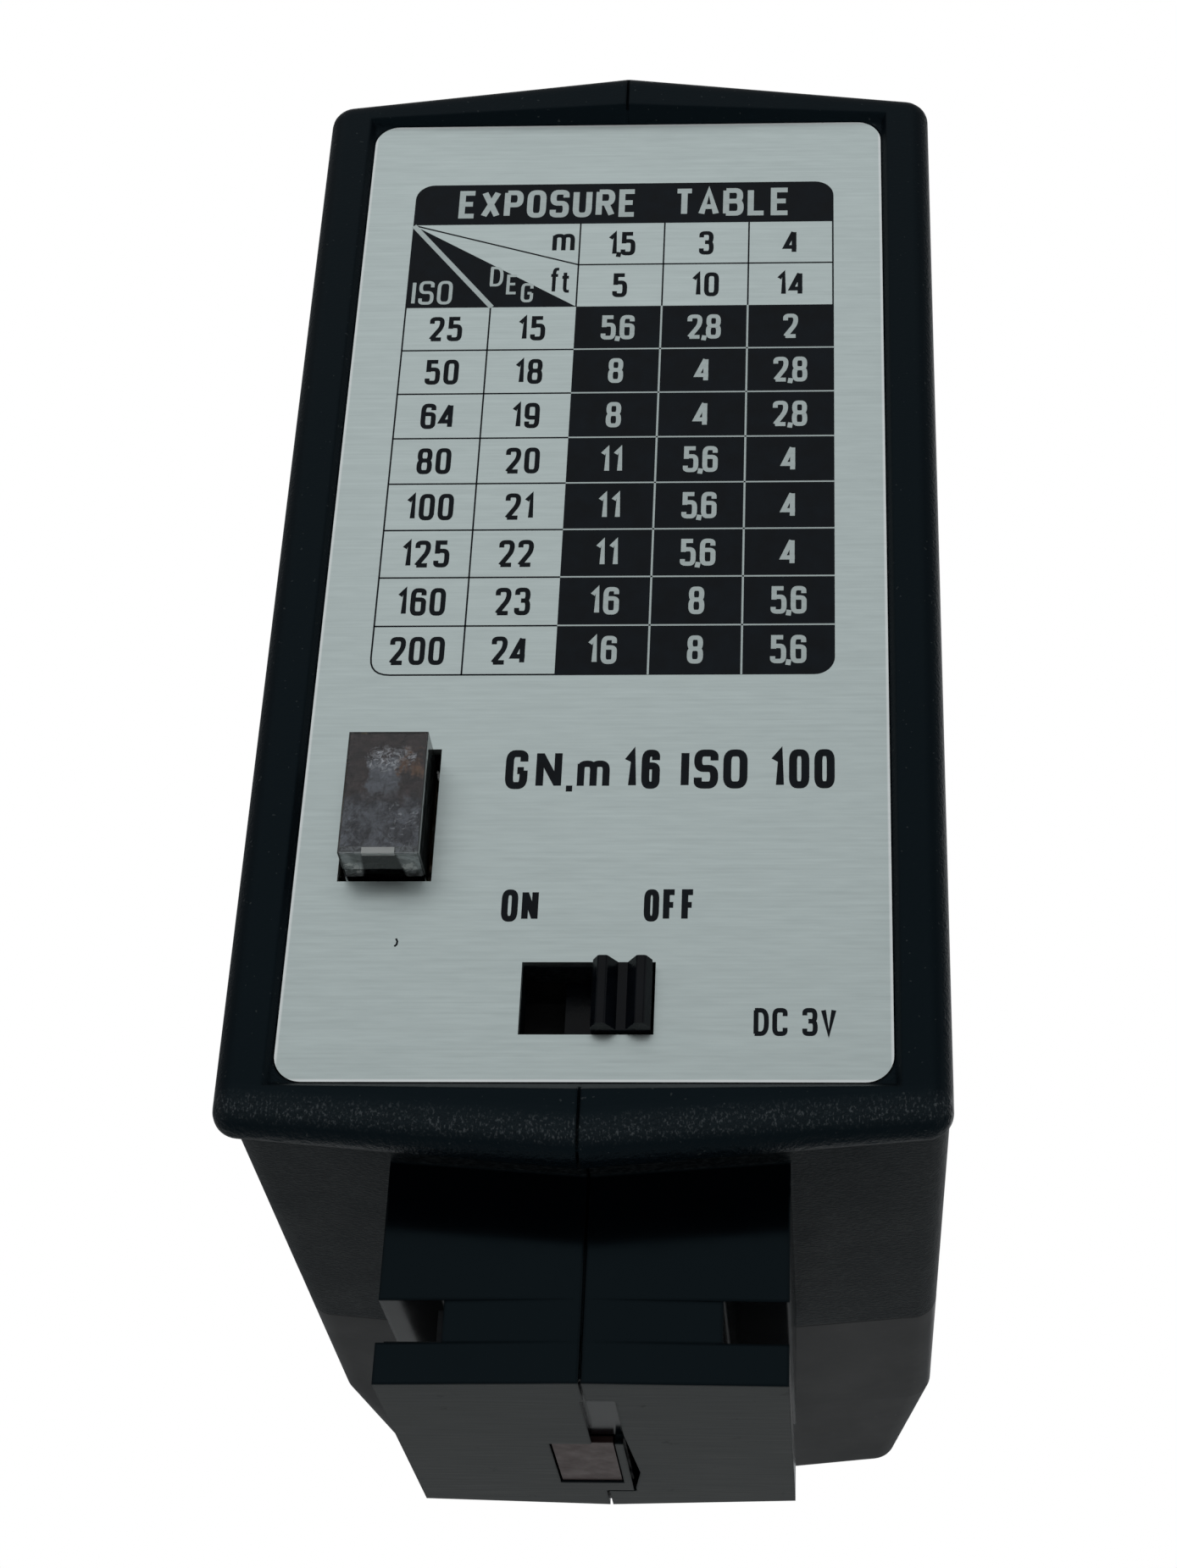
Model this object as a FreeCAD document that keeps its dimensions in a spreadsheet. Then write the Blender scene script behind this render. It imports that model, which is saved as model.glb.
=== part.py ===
"""A small shoe-mounted electronic flash with two battery cells, built as a parametric document.

Frame: millimetres, +Z up from the shoe foot, +Y towards the flash window, +X to the right seen from the rear
panel. The origin is the centre of the foot's underside.
"""
import FreeCAD, Part
import math
import os
import re
import Sketcher

Vector = FreeCAD.Vector
doc = FreeCAD.newDocument("shoe_flash")

# Driving dimensions. Each one can be changed by itself; fits use the named clearances at the end.
SIZES = {
    # case
    "case_width": 33.0, "case_height": 60.9, "case_rise": 1.5, "case_depth": 26.5, "cover_depth": 24.5,
    "rear_reach": 14.85, "border_lip": 0.3, "border_ridge": 0.6, "corner_radius": 1.3, "rim_radius": 1.0,
    "side_wall": 1.6, "rear_wall": 1.8, "nose_narrowing": 2.0, "nose_length": 12.2, "nose_radius": 1.5,
    "border_depth": 0.75, "floor_rise": 1.65, "floor_fall": 0.0385, "floor_wall": 1.1,
    "lip_length": 1.5, "lip_thickness": 0.8, "seam_half": 0.07, "seam_depth": 0.3,
    # foot and stem
    "foot_width": 18.4, "foot_length": 18.6, "foot_plate": 1.9, "foot_peak": 0.9, "rail_gap": 1.95,
    "neck_width": 12.5, "stem_drop": 5.85, "stem_peak": 0.3, "tongue_width": 1.35, "tongue_start": -6.95,
    "tongue_end": 7.65, "wedge_width": 0.45, "duct_width": 8.0, "duct_length": 10.5,
    # rear panel
    "panel_width": 27.75, "panel_height": 57.0, "panel_thickness": 0.5, "panel_corner": 1.3,
    "panel_lift": 2.31, "recess_slope": 36.0,
    # test button and its lamp
    "button_across": -9.65, "button_lift": 13.6, "button_slot_width": 4.4, "button_slot_height": 7.1,
    "button_proud": 2.2, "button_travel": 1.0, "button_skin": 0.6, "button_flange": 0.8,
    "flange_thickness": 0.6, "foil_thickness": 0.3, "foil_drop": 0.9, "lamp_radius": 0.95, "lamp_length": 4.6,
    # power switch
    "switch_across": 0.07, "switch_lift": 4.1, "switch_slot_width": 6.1, "switch_slot_height": 3.6,
    "knob_width": 2.7, "knob_proud": 1.0, "knob_groove": 0.75, "knob_softness": 0.15,
    "slider_width": 5.6, "slider_thickness": 1.9, "slider_margin": 0.45,
    "switch_floor": 0.9, "switch_wall": 1.0, "wiper_thickness": 0.3,
    # battery bay
    "cell_radius": 7.05, "cell_length": 49.0, "nub_radius": 2.7, "nub_height": 1.0, "cell_row": 2.2,
    "tray_wall": 0.6, "tray_height": 50.0, "contact_height": 2.5, "leaf_width": 5.0, "leaf_thickness": 0.3,
    # battery door
    "door_thickness": 1.6, "hinge_radius": 1.0, "pin_radius": 0.5, "hinge_back": 1.4, "knuckle_half": 5.0,
    "lug_width": 4.1, "bridge_thickness": 0.4,
    # circuit board
    "board_thickness": 1.2, "board_width": 27.4, "board_height": 52.5, "board_gap": 2.35, "lead_radius": 0.25,
    # flash head
    "window_width": 21.6, "window_height": 20.0, "window_lift": 36.6, "window_flange": 0.8,
    "mirror_radius": 10.0, "mirror_thickness": 0.4, "tube_radius": 1.7, "tube_length": 20.0, "tube_forward": 3.6, "cap_length": 2.2,
    # power parts
    "capacitor_radius": 8.2, "capacitor_length": 32.5, "capacitor_across": -5.4, "capacitor_row": 22.0,
    "core_width": 9.6, "core_depth": 10.0, "core_height": 12.0,
    # case screws
    "screw_radius": 1.0, "screw_head": 1.7, "screw_length": 25.5, "boss_radius": 1.7,
    # clearances
    "seat": 0.05, "running": 0.05, "slip": 0.12, "gap": 0.3, "button_gap": 0.33,
}

# Places worked out from the driving dimensions.
LOW = "(foot_plate + rail_gap + stem_drop)"
HIGH = f"({LOW} + case_height)"
PEAK = f"({HIGH} + case_rise)"
HALF = "(case_width / 2)"
SPLIT = "(case_depth - rear_reach)"
FRONT = "(case_depth + cover_depth - rear_reach)"
PANEL_FACE = "(-rear_reach)"
PANEL_BACK = "(panel_thickness - rear_reach)"
BORDER_FRONT = "(border_depth - rear_reach)"
INNER_REAR = "(panel_thickness + rear_wall - rear_reach)"
PANEL_LOW = f"({LOW} + panel_lift)"
BUTTON_Z = f"({PANEL_LOW} + button_lift)"
SWITCH_Z = f"({PANEL_LOW} + switch_lift)"
KNOB_X = "(switch_across + (switch_slot_width - knob_width) / 2 - slip)"
TRAY_REAR = "(cell_row - cell_radius - 2 * running - tray_wall)"
TRAY_FRONT = "(cell_row + cell_radius + 2 * running + tray_wall)"
BOARD_FRONT = f"({TRAY_REAR} - board_gap + board_thickness - 0.35)"
BOARD_REAR = f"({BOARD_FRONT} - board_thickness)"
BOARD_LOW = f"({PANEL_LOW} + 1)"
TRAY_LOW = f"({LOW} + floor_wall + floor_rise - floor_fall * ({TRAY_REAR} - {BORDER_FRONT}) + gap / 2)"
TRAY_FLOOR = f"({TRAY_LOW} + 2 * tray_wall)"
CELL_LOW = f"({TRAY_FLOOR} + contact_height)"
CELL_HIGH = f"({CELL_LOW} + cell_length)"
HINGE_Y = f"({SPLIT} - hinge_back)"
HINGE_Z = f"({PEAK} + 0.1)"
DOOR_FRONT = f"({HINGE_Y} - hinge_radius - 0.2)"
DOOR_REAR = f"({TRAY_REAR} + tray_wall + gap)"
DOOR_HALF = "(2 * cell_radius + running)"
WINDOW_Z = f"({LOW} + window_lift + window_height / 2)"
HEAD_FRONT = f"({FRONT} - side_wall)"
MIRROR_FRONT = f"({HEAD_FRONT} - window_flange - seat)"
CAPACITOR_LOW = f"({LOW} + side_wall + gap)"
SCREW_Y = f"({INNER_REAR} + boss_radius + gap)"


def make_sheet():
    """Write every driving dimension into a spreadsheet cell with its name as the alias."""
    sheet = doc.addObject("Spreadsheet::Sheet", "Sizes")
    for row, (name, value) in enumerate(SIZES.items(), start=1):
        sheet.set(f"A{row}", name)
        sheet.set(f"B{row}", str(value))
        sheet.setAlias(f"B{row}", name)
    doc.recompute()


def bind(thing, target, formula):
    """Bind a property to a formula written with the names of the driving dimensions."""
    text = re.sub(r"[a-z][a-z_]+",
                  lambda word: f"Sizes.{word.group()}" if word.group() in SIZES else word.group(),
                  str(formula))
    thing.setExpression(target, text)


def settle(thing, name):
    """Give a new object its label and bring the document up to date."""
    thing.Label = name
    doc.recompute()
    return thing


def place(thing, across, forward, up):
    """Bind the position of a primitive."""
    for axis, formula in zip("xyz", (across, forward, up)):
        bind(thing, f"Placement.Base.{axis}", formula)


def box(name, across, forward, up):
    """A block between two X, two Y and two Z formulas."""
    block = doc.addObject("Part::Box", name)
    for side, (low, high) in zip(("Length", "Width", "Height"), (across, forward, up)):
        bind(block, side, f"({high}) - ({low})")
    place(block, across[0], forward[0], up[0])
    return settle(block, name)


TURNS = {"X": FreeCAD.Rotation(Vector(0, 1, 0), 90), "Y": FreeCAD.Rotation(Vector(1, 0, 0), -90),
         "Z": FreeCAD.Rotation()}


def rod(name, axis, radius, length, start):
    """A round bar of a radius and length that runs from start along +X, +Y or +Z."""
    bar = doc.addObject("Part::Cylinder", name)
    bind(bar, "Radius", radius)
    bind(bar, "Height", length)
    bar.Placement = FreeCAD.Placement(Vector(), TURNS[axis])
    place(bar, *start)
    return settle(bar, name)


def join(name, *pieces):
    """One solid from pieces that touch or overlap, or a group of separate solids."""
    whole = doc.addObject("Part::MultiFuse", name)
    whole.Shapes = list(pieces)
    return settle(whole, name)


def cut(name, base, *tools):
    """The base with every tool taken away."""
    result = doc.addObject("Part::Cut", name)
    result.Base = base
    result.Tool = tools[0] if len(tools) == 1 else join(name + "_tools", *tools)
    return settle(result, name)


def common(name, *pieces):
    """What the pieces share."""
    shared = doc.addObject("Part::MultiCommon", name)
    shared.Shapes = list(pieces)
    return settle(shared, name)


def mirrored(name, source):
    """The source's mirror image across the middle plane."""
    image = doc.addObject("Part::Mirroring", name)
    image.Source = source
    image.Normal = Vector(1, 0, 0)
    return settle(image, name)


def both_halves(name, base, fillets):
    """A symmetrical base whose left half gets its fillets and is then mirrored across the middle."""
    room = box(name + "_room", ("-case_width", "0"), (f"{PANEL_FACE} - 3", f"{FRONT} + 3"), ("0", f"{PEAK} + 3"))
    half = common(name + "_half", base, room)
    for number, (radius, chosen) in enumerate(fillets):
        half = softened(f"{name}_soft_{number}", half, radius, chosen)
    return join(name, half, mirrored(name + "_other", half))


def outline(body, name, plane, offset, corners):
    """A closed outline on one of the body's origin planes. Each corner is a pair of formulas."""
    sketch = body.newObject("Sketcher::SketchObject", name)
    support = next(item for item in body.Origin.OriginFeatures if item.Role == plane + "_Plane")
    sketch.AttachmentSupport = [(support, "")]
    sketch.MapMode = "FlatFace"
    bind(sketch, "AttachmentOffset.Base.z", f"-({offset})" if plane == "XZ" else offset)
    count = len(corners)
    ring = [Vector(20 * math.cos(turn), 20 * math.sin(turn), 0)
            for turn in (2 * math.pi * number / count for number in range(count))]
    for number in range(count):
        sketch.addGeometry(Part.LineSegment(ring[number], ring[(number + 1) % count]))
    for number in range(count):
        sketch.addConstraint(Sketcher.Constraint("Coincident", number, 2, (number + 1) % count, 1))
    for number, corner in enumerate(corners):
        for direction, formula, guess in zip(("DistanceX", "DistanceY"), corner, ring[number]):
            place_in = sketch.addConstraint(Sketcher.Constraint(direction, -1, 1, number, 1, guess))
            bind(sketch, f"Constraints[{place_in}]", formula)
    doc.recompute()
    return sketch


ALONG = {"XY": Vector(0, 0, 1), "XZ": Vector(0, 1, 0), "YZ": Vector(1, 0, 0)}


def prism(name, plane, low, high, corners, radius=None, rounded=None, taper=None):
    """An outline padded from low to high; the edges at the rounded corners get a fillet."""
    body = doc.addObject("PartDesign::Body", name)
    sketch = outline(body, name + "_outline", plane, low, corners)
    pad = body.newObject("PartDesign::Pad", name + "_pad")
    pad.Profile = sketch
    pad.Reversed = plane == "XZ"
    bind(pad, "Length", f"({high}) - ({low})")
    if taper:
        bind(pad, "TaperAngle", taper)
    doc.recompute()
    if radius:
        wanted = range(len(corners)) if rounded is None else rounded
        spots = [sketch.Placement.multVec(sketch.Geometry[number].StartPoint) for number in wanted]
        fillet = body.newObject("PartDesign::Fillet", name + "_fillet")
        fillet.Base = (pad, edges_at(pad.Shape, ALONG[plane], spots))
        bind(fillet, "Radius", radius)
    return settle(body, name)


def edges_at(shape, along, spots):
    """Names of the straight edges that run along a direction through one of the spots."""
    names = []
    for number, edge in enumerate(shape.Edges, start=1):
        first, last = edge.Vertexes[0].Point, edge.Vertexes[-1].Point
        run = last - first
        if run.Length < 0.01 or run.cross(along).Length > 0.01 * run.Length:
            continue
        if any((first - spot).cross(along).Length < 0.01 for spot in spots):
            names.append(f"Edge{number}")
    return names


def softened(name, base, radius, chosen):
    """The base with a fillet on each edge that the chosen test accepts."""
    result = doc.addObject("Part::Fillet", name)
    result.Base = base
    size = SIZES[radius]
    edges = enumerate(base.Shape.Edges, start=1)
    result.Edges = [(number, size, size) for number, edge in edges if chosen(edge)]
    return settle(result, name)


def rectangle(low_across, high_across, low_up, high_up):
    """Corners of a rectangle from four formulas."""
    return [(low_across, low_up), (high_across, low_up), (high_across, high_up), (low_across, high_up)]


def hexagon(inset, narrowing="0", lift="0"):
    """The case's section: upright sides and a shallow peak at the middle of the top and the lifted bottom."""
    side = f"({HALF} - ({inset}) - ({narrowing}))"
    low = f"{LOW} + ({inset}) + ({lift})"
    high = f"({inset})"
    return [(f"-{side}", low), ("0", f"{low} - case_rise"), (side, low),
            (side, f"{HIGH} - {high}"), ("0", f"{PEAK} - {high}"), (f"-{side}", f"{HIGH} - {high}")]


def floor_lift(forward):
    """How far the underside lies above the border's lower edge; it falls towards the front."""
    return f"(floor_rise - floor_fall * (({forward}) - {BORDER_FRONT}))"


def lofted(name, sections):
    """A block with straight sides through several outlines, each given as a Y formula and its corners."""
    body = doc.addObject("PartDesign::Body", name)
    outlines = [outline(body, f"{name}_outline_{number}", "XZ", forward, corners)
                for number, (forward, corners) in enumerate(sections)]
    loft = body.newObject("PartDesign::AdditiveLoft", name + "_loft")
    loft.Profile = outlines[0]
    loft.Sections = outlines[1:]
    loft.Ruled = True
    return settle(body, name)


def coil(name, radius, wire, height, pitch, start, axis="Z"):
    """A round-wire spring whose centre line starts at a point and climbs along an axis."""
    spine = doc.addObject("Part::Helix", name + "_spine")
    bind(spine, "Pitch", pitch)
    bind(spine, "Height", height)
    bind(spine, "Radius", radius)
    ring = doc.addObject("Part::Circle", name + "_wire")
    bind(ring, "Radius", wire)
    ring.Placement = FreeCAD.Placement(Vector(), FreeCAD.Rotation(Vector(1, 0, 0), 90))
    bind(ring, "Placement.Base.x", radius)
    doc.recompute()
    sweep = doc.addObject("Part::Sweep", name)
    sweep.Sections = [ring]
    sweep.Spine = (spine, [])
    sweep.Solid = True
    sweep.Frenet = True
    sweep.Placement = FreeCAD.Placement(Vector(), TURNS[axis])
    place(sweep, *start)
    return settle(sweep, name)


def make_case():
    """The rear case: a hollow six-sided shell with a border that hangs lower, its stem and its shoe foot."""
    ridge = f"{PANEL_FACE} - border_lip - border_ridge"
    block = prism("border_block", "XZ", ridge, BORDER_FRONT, hexagon("0"), "corner_radius", (0, 2, 3, 5))
    roof = prism("case_roof", "XY", f"{LOW} - 2 * case_rise", f"{PEAK} + case_rise",
                 [("-case_width", f"{ridge} + 2 * border_ridge"), ("0", ridge),
                  ("case_width", f"{ridge} + 2 * border_ridge"), ("case_width", f"{SPLIT} + 1"),
                  ("-case_width", f"{SPLIT} + 1")])
    roofed = common("border_roofed", block, roof)
    limit = -SIZES["rear_reach"] + 0.01

    def on_rim(edge):
        points = [edge.valueAt(edge.FirstParameter + share * (edge.LastParameter - edge.FirstParameter))
                  for share in (0.0, 0.5, 1.0)]
        return all(point.y < limit for point in points) and all(point.x < -0.01 for point in points[1:2])

    rimmed = both_halves("border_rimmed", roofed, [("rim_radius", on_rim)])
    straight = lofted("case_straight",
                      [(row, hexagon("0", "0", floor_lift(row))) for row in (BORDER_FRONT, SPLIT)])
    block = both_halves("case_block", straight, [("corner_radius", side_corner)])
    foot, duct = make_foot()
    outer = join("case_outer", rimmed, block, foot)
    hollow = lofted("case_hollow",
                    [(row, hexagon("side_wall", "0", f"{floor_lift(row)} + floor_wall - side_wall"))
                     for row in (INNER_REAR, f"{SPLIT} + 1")])
    half_panel = "(panel_width / 2 + seat)"
    panel_corners = rectangle(f"-{half_panel}", half_panel, f"{PANEL_LOW} - seat",
                              f"{PANEL_LOW} + panel_height + seat")
    seat = prism("panel_seat", "XZ", f"{PANEL_FACE} - 3", PANEL_BACK, panel_corners, "panel_corner")
    slope = sloped_recess(panel_corners)
    button_hole = box("button_hole", *slot("button", f"{PANEL_FACE} - 1", f"{INNER_REAR} + 1"))
    switch_hole = box("switch_hole", *slot("switch", f"{PANEL_FACE} - 1", f"{INNER_REAR} + 1"))
    door_hole = box("door_hole", (f"-{DOOR_HALF} - gap", f"{DOOR_HALF} + gap"),
                    (f"{DOOR_REAR} - gap", f"{DOOR_FRONT} + gap"), (f"{HIGH} - 2 * side_wall", f"{PEAK} + 1"))
    trough = rod("hinge_trough", "X", "hinge_radius + 0.25", "2 * (knuckle_half + lug_width) + 3 * gap",
                 ("-(knuckle_half + lug_width) - 1.5 * gap", HINGE_Y, HINGE_Z))
    return cut("case_shell", outer, hollow, seat, slope, button_hole, switch_hole, door_hole, trough, duct)


def slot(kind, rear, front):
    """The three spans of a rear-wall opening: button or switch."""
    middle = BUTTON_Z if kind == "button" else SWITCH_Z
    half_width = f"{kind}_slot_width / 2"
    half_height = f"{kind}_slot_height / 2"
    return ((f"{kind}_across - {half_width}", f"{kind}_across + {half_width}"), (rear, front),
            (f"{middle} - {half_height}", f"{middle} + {half_height}"))


def sloped_recess(corners):
    """The space behind the panel, whose four walls lean outwards up to the border."""
    body = doc.addObject("PartDesign::Body", "recess_slope_space")
    sketch = outline(body, "recess_outline", "XZ", PANEL_FACE, corners)
    pad = body.newObject("PartDesign::Pad", "recess_pad")
    pad.Profile = sketch
    bind(pad, "Length", "3")
    bind(pad, "TaperAngle", "recess_slope")
    return settle(body, "recess_slope_space")


def make_foot():
    """The stem under the case and its shoe foot, and the duct that runs through them for the contact."""
    half = "(foot_width / 2)"
    reach = "(foot_length / 2)"

    def section(across, low, high, name, peak):
        corners = [(f"-{across}", f"-{reach}"), ("0", f"-{reach} - stem_peak"), (across, f"-{reach}"),
                   (across, reach), ("0", f"{reach} + {peak}"), (f"-{across}", reach)]
        return prism(name, "XY", low, high, corners)

    plate = section(half, "0", "foot_plate", "foot_slab", "foot_peak")
    neck = section("(neck_width / 2)", "0.5 * foot_plate", "foot_plate + rail_gap + 0.5", "foot_neck",
                   "stem_peak")
    stem = section(half, "foot_plate + rail_gap", f"{LOW} + floor_rise", "foot_stem", "stem_peak")
    duct_rear = "(-0.35 - 2.5)"
    duct = box("contact_duct", ("-duct_width / 2", "duct_width / 2"),
               (duct_rear, f"{duct_rear} + duct_length"),
               ("foot_plate", f"{LOW} + side_wall"))
    window = box("contact_window", ("-2.2", "0.9"), ("-0.35", "6.25"), ("-1", "foot_plate + 1"))
    groove = box("tongue_groove", ("-0.2", "tongue_width"), ("tongue_start", "-0.35"), ("-1", "0.45"))
    return join("foot_whole", plate, neck, stem), join("foot_openings", duct, window, groove)


def make_case_halves():
    """Two half shells that meet on the middle plane, with a stepped tongue in the foot's underside."""
    whole = make_case()
    left_room = box("left_room", (f"-{HALF} - 1", "0"), (f"{PANEL_FACE} - 3", f"{SPLIT} + 1"),
                    ("-1", f"{PEAK} + 3"))
    tongue = box("tongue_room", ("0", "tongue_width"), ("tongue_start", "tongue_end"), ("-1", "foot_plate"))
    left_side = join("left_side", left_room, tongue)
    seam = make_seam()
    wedge = prism("tongue_wedge", "XY", "-1", "foot_plate",
                  [("tongue_width - 0.1", "tongue_start + 4"), ("tongue_width", "tongue_start + 4"),
                   ("tongue_width + wedge_width", "tongue_end - 3.2"), ("tongue_width", "tongue_end"),
                   ("tongue_width - 0.1", "tongue_end")])
    heights = (f"{PANEL_LOW} + panel_height * 0.42", f"{PANEL_LOW} + panel_height * 0.9")
    left = common("left_plain", whole, left_side)
    right = cut("right_plain", whole, left_side)
    inner = f"({HALF} - side_wall / 2)"
    lug_left = hinge_lug("left_lug", "-(knuckle_half + gap / 2 + lug_width)")
    lug_right = hinge_lug("right_lug", "knuckle_half + gap / 2")
    bosses = {side: [rod(f"{side}_boss_{number}", "X", "boss_radius", f"{inner} - 0.1",
                         (start, SCREW_Y, height))
                     for number, height in enumerate(heights)]
              for side, start in (("left", f"-{inner}"), ("right", "0.1"))}
    bores = [rod(f"screw_bore_{number}", "X", "screw_radius + running", "screw_length + gap",
                 (f"-{HALF}", SCREW_Y, height)) for number, height in enumerate(heights)]
    heads = [rod(f"screw_sink_{number}", "X", "screw_head + running", "1.2",
                 (f"-{HALF} - 0.1", SCREW_Y, height))
             for number, height in enumerate(heights)]
    pin_bore = rod("pin_bore", "X", "pin_radius + 0.02", "2 * (knuckle_half + lug_width)",
                   ("-(knuckle_half + lug_width)", HINGE_Y, HINGE_Z))
    cut("case_left", join("left_full", left, lug_left, *bosses["left"]), seam, pin_bore, *bores, *heads)
    cut("case_right", join("right_full", right, lug_right, *bosses["right"]), seam, pin_bore, wedge, *bores)
    for number, height in enumerate(heights):
        make_screw(number, height)
    join("case_screws", *[doc.getObject(f"screw_{number}") for number in range(len(heights))])


def make_seam():
    """A hair-fine groove where the two half shells meet on the outside."""
    side = ("-seam_half", "seam_half")
    ends = (f"{PANEL_FACE} - 2", f"{SPLIT} + 1")
    top = box("seam_top", side, ends, (f"{PEAK} - seam_depth", f"{PEAK} + 1"))
    bottom = box("seam_border", side, ends, (f"{LOW} - case_rise - 1", f"{LOW} - case_rise + seam_depth"))
    keel = prism("seam_keel", "YZ", "-seam_half", "seam_half",
                 [(BORDER_FRONT, f"{LOW} - case_rise - 1"), (f"{SPLIT} + 1", f"{LOW} - case_rise - 1"),
                  (f"{SPLIT} + 1", f"{LOW} - case_rise + seam_depth + {floor_lift(SPLIT + ' + 1')}"),
                  (BORDER_FRONT, f"{LOW} - case_rise + seam_depth + floor_rise")])
    rear = box("seam_rear", side, (f"{PANEL_FACE} - 2", f"{PANEL_FACE} - border_lip - border_ridge + seam_depth"),
               (f"{LOW} - case_rise", f"{PEAK}"))
    stem = box("seam_stem", side, ("-foot_length / 2 - stem_peak - 1", "-foot_length / 2 - stem_peak + seam_depth"),
               ("-1", LOW))
    foot_rear = box("seam_foot", side, ("-foot_length / 2 - 1", "tongue_start"), ("-1", "seam_depth"))
    foot_front = box("seam_toe", side, ("tongue_end", "foot_length / 2 + 2"), ("-1", "seam_depth"))
    edge = box("seam_tongue", ("tongue_width - seam_half", "tongue_width + seam_half"), ("tongue_start", "tongue_end"),
               ("-1", "seam_depth"))
    jogs = [box(f"seam_jog_{number}", ("0", "tongue_width"), (f"{place_y} - seam_half", f"{place_y} + seam_half"),
                ("-1", "seam_depth")) for number, place_y in enumerate(("tongue_start", "tongue_end"))]
    return join("seam_grooves", top, bottom, keel, rear, stem, foot_rear, foot_front, edge, *jogs)


def hinge_lug(name, start):
    """One fixed lug of the door's hinge: a barrel on a short web."""
    barrel = rod(name + "_barrel", "X", "hinge_radius", "lug_width", (start, HINGE_Y, HINGE_Z))
    web = box(name + "_web", (start, f"{start} + lug_width"),
              (f"{HINGE_Y} - hinge_radius", f"{HINGE_Y} + 1.2"),
              (f"{HINGE_Z} - 1.5", HINGE_Z))
    return join(name, barrel, web)


def make_screw(number, height):
    """A countersunk case screw along X with a slot in its head."""
    seat = f"-{HALF} + 0.15"
    head = doc.addObject("Part::Cone", f"screw_head_{number}")
    bind(head, "Radius1", "screw_head - running")
    bind(head, "Radius2", "screw_radius")
    bind(head, "Height", "0.95")
    head.Placement = FreeCAD.Placement(Vector(), TURNS["X"])
    place(head, seat, SCREW_Y, height)
    shank = rod(f"screw_shank_{number}", "X", "screw_radius", "screw_length - gap", (seat, SCREW_Y, height))
    blade = box(f"screw_slot_{number}", (f"{seat} - 1", f"{seat} + 0.45"),
                (f"{SCREW_Y} - 3", f"{SCREW_Y} + 3"),
                (f"{height} - 0.25", f"{height} + 0.25"))
    cut(f"screw_{number}", join(f"screw_body_{number}", head, shank), blade)


def make_front_cover():
    """The smooth front cover: straight, then narrowing to its nose, with a lip that plugs into the case."""
    outer = nose_block("cover_outer", "0", SPLIT, FRONT)
    front = SIZES["case_depth"] + SIZES["cover_depth"] - SIZES["rear_reach"]

    def on_nose(edge):
        middle = edge.valueAt((edge.FirstParameter + edge.LastParameter) / 2)
        return middle.x < -0.01 and all(vertex.Point.y > front - 0.01 for vertex in edge.Vertexes)

    nose = both_halves("cover_nose", outer, [("nose_radius", on_nose), ("corner_radius", side_corner)])
    inner = nose_block("cover_inner", "side_wall", f"{SPLIT} - 1", HEAD_FRONT)
    hole = box("window_hole", ("-window_width / 2", "window_width / 2"),
               (f"{HEAD_FRONT} - 1", f"{FRONT} + 1"),
               (f"{WINDOW_Z} - window_height / 2", f"{WINDOW_Z} + window_height / 2"))
    shell = cut("cover_shell", nose, inner, hole)
    lift = f"{floor_lift(SPLIT + ' - lip_length')} + floor_wall - side_wall"
    lip_outer = prism("lip_outer", "XZ", f"{SPLIT} - lip_length", f"{SPLIT} + 1",
                      hexagon("side_wall + seat", "0", lift))
    lip_inner = prism("lip_inner", "XZ", f"{SPLIT} - 2 * lip_length", f"{SPLIT} + 2 * lip_length",
                      hexagon("side_wall + seat + lip_thickness", "0", lift))
    root = prism("lip_root", "XZ", SPLIT, f"{SPLIT} + lip_length",
                 hexagon("side_wall / 2", "0", floor_lift(SPLIT)))
    ring = join("lip_block", lip_outer, root)
    join("front_cover", shell, cut("cover_lip", ring, lip_inner))


def side_corner(edge):
    """Whether an edge runs lengthwise at one of the four side corners of the section."""
    first, last = edge.Vertexes[0].Point, edge.Vertexes[-1].Point
    lengthwise = abs(last.y - first.y) > 0.5 * (last - first).Length
    return lengthwise and min(abs(first.x), abs(last.x)) > SIZES["case_width"] / 4


def nose_block(name, inset, rear, front):
    """A six-sided block whose sides narrow over the nose length before the front."""
    kink = f"({FRONT} - nose_length)"
    share = f"nose_narrowing * (({front}) - {kink}) / nose_length"
    return lofted(name,
                  [(rear, hexagon(inset, "0", floor_lift(rear))),
                   (kink, hexagon(inset, "0", floor_lift(kink))),
                         (front, hexagon(inset, share, floor_lift(front)))])


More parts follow.
